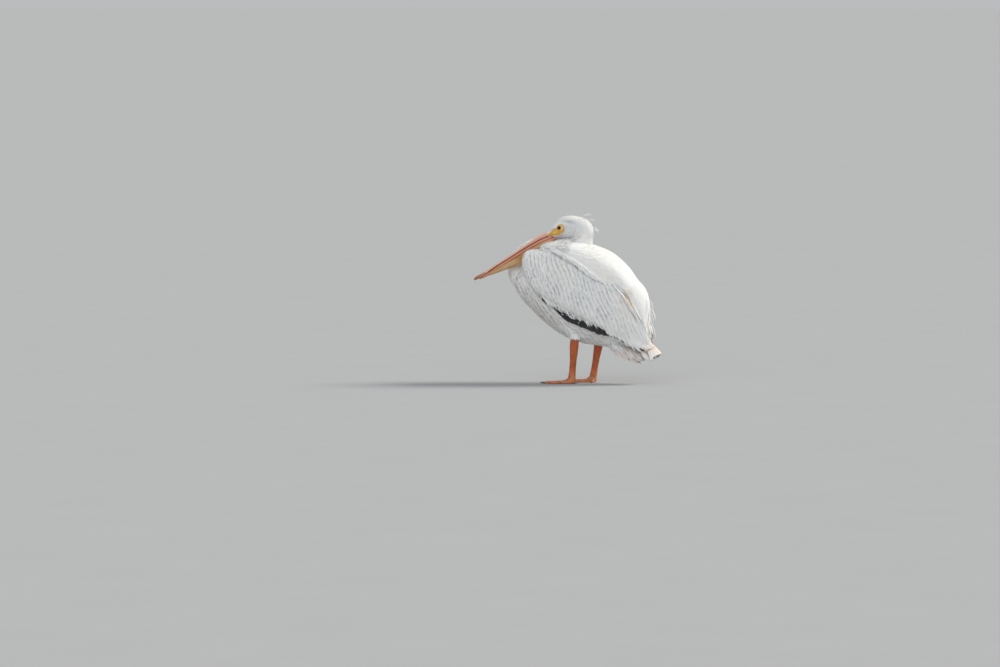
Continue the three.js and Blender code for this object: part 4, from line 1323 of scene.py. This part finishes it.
def plumagePaint(name, feathered):
    # White in places towards cream, under the marks. A feather adds its own tone, its barbs, painted shade
    # that darkens it towards its root so that its tip is paler, the painted bluish shade of the partings, and
    # its share of black, which is painted shade beside the wing's edge and on the thin tertials.
    look = plumageLook
    paint = Paint(name, Roughness=0.85, Specular_IOR_Level=0.25, Sheen_Weight=0.12)
    patchy = paint.noise(paint.point, 9.0, 3.0).between(0.42, 0.7)
    colour = paint.mix(patchy * 0.35, look["white"], look["cream"])
    worn = paint.noise(paint.point, 130.0, 3.0).between(0.25, 0.6, 0.45, 1)
    for marks, at in ((look["marks"], paint.point), (look["headMarks"], paint.facing)):
        colour = paint.spotted(colour, marks, at, worn)
    if feathered:
        tone, shade, ink, reach = (paint.attribute(key) for key in ("tone", "shade", "ink", "reach"))
        barbs = (paint.acrossVane() * 70 + reach * 22 + tone * 9).sine()
        colour = paint.mix(tone.between(0.3, 1.4, 0, 0.35), colour, look["cream"])
        # painted shade: each feather darker towards its root, paler at its tip
        colour = paint.mix(1.0, colour, tone * 0.035 + barbs * 0.012 + reach * 0.06 + 0.93, "MULTIPLY")
        # painted bluish shade in the partings
        colour = paint.mix(shade * 0.85, colour, look["partingShade"])
        # black, which on the breast by the wing and on the thin tertials is painted shade
        colour = paint.mix(ink, colour, look["black"])
        paint.bump(barbs, 0.0001, 0.4)
    return paint.finish(Base_Color=colour)


flightTints = {"black": (0.010, 0.0105, 0.013), "worn": (0.06, 0.05, 0.045), "shaft": (0.09, 0.075, 0.06)}


def flightPaint():
    # near black, browner towards the tips, with barbs slanting from the shaft
    look = flightTints
    paint = Paint("flightPaint", Roughness=0.5, Specular_IOR_Level=0.35)
    tone, reach = paint.attribute("tone"), paint.attribute("reach")
    across = paint.acrossVane()
    barbs = (across * 40 + reach * 220).sine()
    worn = (reach + paint.noise(paint.point, 90.0) * 0.4).between(0.95, 1.35)
    colour = paint.mix(worn, look["black"], look["worn"])
    colour = paint.mix(1.0, colour, tone * 0.2 + barbs * 0.1 + 1.0, "MULTIPLY")
    shaft = (across - 0.4).math("ABSOLUTE").between(0.01, 0.03, 0.5, 0)
    paint.bump(barbs, 0.0002, 0.4)
    return paint.finish(Base_Color=paint.mix(shaft, colour, look["shaft"]))


billTints = {
    "cream": (0.84, 0.58, 0.46), "salmon": (0.76, 0.33, 0.25), "orange": (0.70, 0.31, 0.17),
    "edge": (0.32, 0.12, 0.08), "blush": (0.56, 0.10, 0.13), "tan": (0.56, 0.34, 0.155),
    "hollow": (0.47, 0.20, 0.06), "pale": (0.68, 0.43, 0.23), "yellow": (0.90, 0.58, 0.10),
}


def alongBill(paint, share):
    # places on the head in which the bill's own slope is level, drawn out along it
    return paint.stretched(paint.tilted(paint.facing, -32), (1, share, 1))


def billPaint(name, upper):
    # Colour by where a point is: height from -1 under the piece to 1 on top, and along from the tip to the
    # face.
    paint, look = Paint(name, Roughness=0.42, Coat_Weight=0.06, Coat_Roughness=0.4), billTints
    height, along = paint.attribute("height"), paint.attribute("along")
    blotches = paint.noise(alongBill(paint, 0.3), 70.0, 5.0, 0.6)
    streaks = paint.noise(alongBill(paint, 0.06), 600.0, 3.0)
    colour = paint.mix((along + blotches * 0.3).between(0.35, 1.05), look["orange"], look["salmon"])
    colour = paint.mix(blotches.between(0.5, 0.75, 0, 0.5), colour, look["cream"])
    if upper:
        # painted highlight: the top of the upper bill paler towards cream where light falls on it
        ridge = (height + streaks * 0.15).between(0.5, 0.95)
        colour = paint.mix(ridge * along.between(0.1, 0.4, 0.5, 0.95), colour, look["cream"])
        # the dark lower edge of the upper bill, partly its own dark rim and partly painted shade in the gap
        # between the mandibles
        colour = paint.mix((height + streaks * 0.2).between(-0.15, 0.2, 0.75, 0), colour, look["edge"])
        colour = paint.mix(along.between(0.55, 0.95, 0, 0.4), colour, look["cream"])
        base = paint.spot((0, -124, 574), (60, 20, 12), 0.0, -30, paint.facing)
        colour = paint.mix(base * 0.95, colour, look["yellow"])
    else:
        # the dark upper edge of the lower bill, partly its own dark rim and partly painted shade in the gap
        # between the mandibles
        colour = paint.mix((height + streaks * 0.3).between(0.6, 1.05, 0, 0.8), colour, look["edge"])
        colour = paint.mix(along.between(0.84, 0.93, 0, 0.75), colour, look["blush"])
    colour = paint.mix(streaks.between(0.5, 0.75, 0, 0.35), colour, look["edge"])
    pits = paint.cells(alongBill(paint, 0.4), 420.0)
    paint.bump(streaks * 0.6 + pits * 0.25 + blotches * 0.6, 0.0007, 0.6)
    return paint.finish(Base_Color=colour, Roughness=blotches.between(0.3, 0.7, 0.34, 0.58))


hornLook = {
    "nail": {"tints": ((0.52, 0.20, 0.07), (0.30, 0.11, 0.05)), "scale": (1, 0.3, 0.3), "grain": 300.0,
             "depth": 0.0004},
    "claw": {"tints": ((0.10, 0.07, 0.05), (0.22, 0.15, 0.10)), "scale": (1, 0.2, 1), "grain": 500.0,
             "depth": 0.0003},
}


def hornPaint(name):
    # from one tint to the other along a fine grain
    paint, look = Paint(f"{name}Paint", Roughness=0.35), hornLook[name]
    grain = paint.noise(paint.stretched(paint.point, look["scale"]), look["grain"], 3.0)
    paint.bump(grain, look["depth"], 0.4)
    return paint.finish(Base_Color=paint.mix(grain, *look["tints"]))


def pouchPaint():
    # thin wrinkled skin: tan, deeper orange-brown in the hollow by the neck, partly its own colour and partly
    # painted shade, and a dark line along its lower edge
    paint, look = Paint("pouchPaint", Roughness=0.55, Subsurface_Weight=0.06), billTints
    height, along = paint.attribute("height"), paint.attribute("along")
    soft = paint.noise(alongBill(paint, 0.25), 90.0, 5.0, 0.6)
    wrinkles = paint.noise(alongBill(paint, 0.12), 330.0, 4.0, 0.6)
    colour = paint.mix(soft.between(0.35, 0.7), look["tan"], look["pale"])
    # the pouch's own orange deepened by painted shade in the hollow
    hollow = paint.spot((14, -236, 489), (40, 45, 22), 0.2, at=paint.facing)
    colour = paint.mix(hollow * 0.85, colour, look["hollow"])
    colour = paint.mix((height + soft * 0.06).between(-0.98, -0.86, 0.8, 0), colour, look["edge"])
    colour = paint.mix(along.between(0.7, 0.9, 0, 0.6), colour, look["salmon"])
    colour = paint.mix(wrinkles.between(0.5, 0.72, 0, 0.4), colour, look["hollow"])
    paint.bump(soft * 0.6 + wrinkles, 0.0009, 0.7)
    return paint.finish(Base_Color=colour)


eyeTints = {"pupil": (0.0015, 0.0015, 0.0015), "rim": (0.008, 0.005, 0.004),
            "iris": ((0.030, 0.012, 0.006), (0.075, 0.030, 0.012))}


def eyePaint():
    # black pupil, dark brown iris with fine spokes, and a near-black rim
    look = eyeTints
    paint = Paint("eyePaint", Roughness=0.05, Specular_IOR_Level=0.35)
    out = paint.attribute("fromFront")
    spokes = paint.noise(paint.point, 900.0, 2.0)
    colour = paint.mix(out.between(0.32, 0.38), look["pupil"], paint.mix(spokes, *look["iris"]))
    return paint.finish(Base_Color=paint.mix(out.between(0.62, 0.78), colour, look["rim"]))


faceTints = {
    "skin": ((0.78, 0.43, 0.07), (0.66, 0.27, 0.04)),
    "marks": [  # as on the plumage: paler round the eye, brighter before it, a dark rim to the lids
        ((0, -80, 606), (80, 13, 17), 0.4, 0, (0.88, 0.72, 0.36), 0.7),
        ((0, -104, 588), (80, 20, 9), 0.1, -33, (0.93, 0.62, 0.07), 0.9),
        (layout["eye"], (80, 9.6, 8.8), 0.75, 0, (0.22, 0.085, 0.02), 0.85),
    ],
}


def facePaint():
    # orange-yellow skin round the eye, under its marks
    paint = Paint("facePaint", Roughness=0.5, Subsurface_Weight=0.05)
    fine = paint.noise(paint.point, 330.0, 4.0)
    colour = paint.mix(fine.between(0.35, 0.7), *faceTints["skin"])
    colour = paint.spotted(colour, faceTints["marks"], paint.facing)
    pores = paint.cells(paint.point, 900.0)
    paint.bump(fine * 0.5 + pores * 0.5, 0.0005, 0.6)
    return paint.finish(Base_Color=colour)


legTints = {"foot": (0.68, 0.25, 0.11), "shank": (0.50, 0.10, 0.02), "blotch": (0.21, 0.045, 0.014),
            "seam": (0.64, 0.25, 0.10)}


def legPaint():
    # small many-sided scales with paler seams, brown in blotches, lighter on the feet
    look = legTints
    paint = Paint("legPaint", Roughness=0.5)
    seams = paint.cells(paint.point, 290.0, "DISTANCE_TO_EDGE").between(0, 0.12)
    tint = paint.cells(paint.point, 290.0, out="Color")
    blotch = paint.noise(paint.point, 34.0, 5.0, 0.6).between(0.45, 0.68)
    colour = paint.mix(paint.z.between(0.012, 0.06), look["foot"], look["shank"])
    colour = paint.mix(blotch * 0.65, colour, look["blotch"])
    colour = paint.mix(0.14, colour, tint, "OVERLAY")
    colour = paint.mix(seams.between(0, 1, 0.3, 0), colour, look["seam"])
    paint.bump(seams, 0.0007, 0.6)
    return paint.finish(Base_Color=colour, Roughness=seams.between(0, 1, 0.6, 0.42))


dressed = [
    ([skin, tailBack], plumagePaint("skinPaint", False)), (coats, plumagePaint("plumagePaint", True)),
    ([*flightBacks, *flights], flightPaint()), ([upperBill], billPaint("upperBillPaint", True)),
    ([lowerBill], billPaint("lowerBillPaint", False)), ([nail], hornPaint("nail")), ([pouch], pouchPaint()),
    (eyes, eyePaint()), (eyeSkins, facePaint()), (legs, legPaint()), (claws, hornPaint("claw")),
]
for group, material in dressed:
    for piece in group:
        piece.data.materials.clear()
        piece.data.materials.append(material)
print("finishes")


# floor, light and camera

stageLook = {
    "floor": (0.445, 0.452, 0.46),
    "sky": (0.490, 0.50, 0.510),
    "sun": {"toward": (-0.45, 0.75, 0.75), "strength": 2.4, "spread": 24, "colour": (1.0, 0.965, 0.9)},
    "fill": {"toward": (0.95, 0.0, 0.42), "strength": 0.9, "spread": 60, "colour": (0.93, 0.97, 1.0)},
}
cameraLook = {"azimuth": 105.0, "elevation": 3.0, "away": 26.0, "width": 3.9,  # degrees, and metres
              "target": (0.0730, -0.2610, 0.1928)}


def axesAt(azimuth, elevation):
    # the camera's right, up and back
    a, e = math.radians(azimuth), math.radians(elevation)
    right = np.array([math.cos(a), math.sin(a), 0])
    back = np.array([math.sin(a) * math.cos(e), -math.cos(a) * math.cos(e), math.sin(e)])
    return right, np.cross(back, right), back


def floorDisc(radius):
    # rings of points about the origin, level with the soles
    rows, count = 11, 96
    share, turn = np.meshgrid((np.arange(1, rows + 1) / rows) ** 2, np.arange(count) / count * 2 * np.pi,
                              indexing="ij")
    ring = vectors(radius * share * np.cos(turn), radius * share * np.sin(turn), 0).reshape(-1, 3)
    around = np.arange(count)
    middle = np.stack([np.full(count, len(ring)), around, (around + 1) % count], -1)
    walls = wallsOf(rows, count)[:, ::-1]
    floor = pieceOf("floor", meshOf("floor", np.vstack([ring, [[0, 0, 0]]]), walls, middle))
    paint, grey = Paint("floorPaint", Roughness=0.9, Specular_IOR_Level=0.0), stageLook["floor"]
    cloudy = paint.noise(paint.point, 3.0).between(0.3, 0.7)
    colour = paint.mix(cloudy, grey, tuple(c * 0.985 for c in grey))
    floor.data.materials.append(paint.finish(Base_Color=colour))


def softLight(name, look):
    # far off and even all over the floor, and wide enough to have soft shadows
    light = bpy.data.lights.new(name, "SUN")
    light.energy, light.angle, light.color = look["strength"], math.radians(look["spread"]), look["colour"]
    lamp = bpy.data.objects.new(name, light)
    collection.objects.link(lamp)
    lamp.rotation_euler = Vector(look["toward"]).to_track_quat("Z", "Y").to_euler()


def setCamera(look):
    # a long lens, whose frame is as wide as the view at the bird
    right, up, back = axesAt(look["azimuth"], look["elevation"])
    lens = bpy.data.cameras.new("camera")
    lens.sensor_width, lens.lens = 36.0, 36.0 * look["away"] / look["width"]
    lens.clip_end = 1000
    camera = bpy.data.objects.new("camera", lens)
    collection.objects.link(camera)
    turn = Matrix(np.column_stack([right, up, back]).tolist()).to_4x4()
    camera.matrix_world = Matrix.Translation(np.array(look["target"]) + back * look["away"]) @ turn
    bpy.context.scene.camera = camera


floorDisc(400.0)
for name in ("sun", "fill"):
    softLight(name, stageLook[name])
world = bpy.data.worlds.new("sky")
world.use_nodes = True
world.node_tree.nodes["Background"].inputs["Color"].default_value = (*stageLook["sky"], 1)
bpy.context.scene.world = world
bpy.context.scene.view_settings.view_transform = "Standard"
setCamera(cameraLook)
print("floor, light and camera")
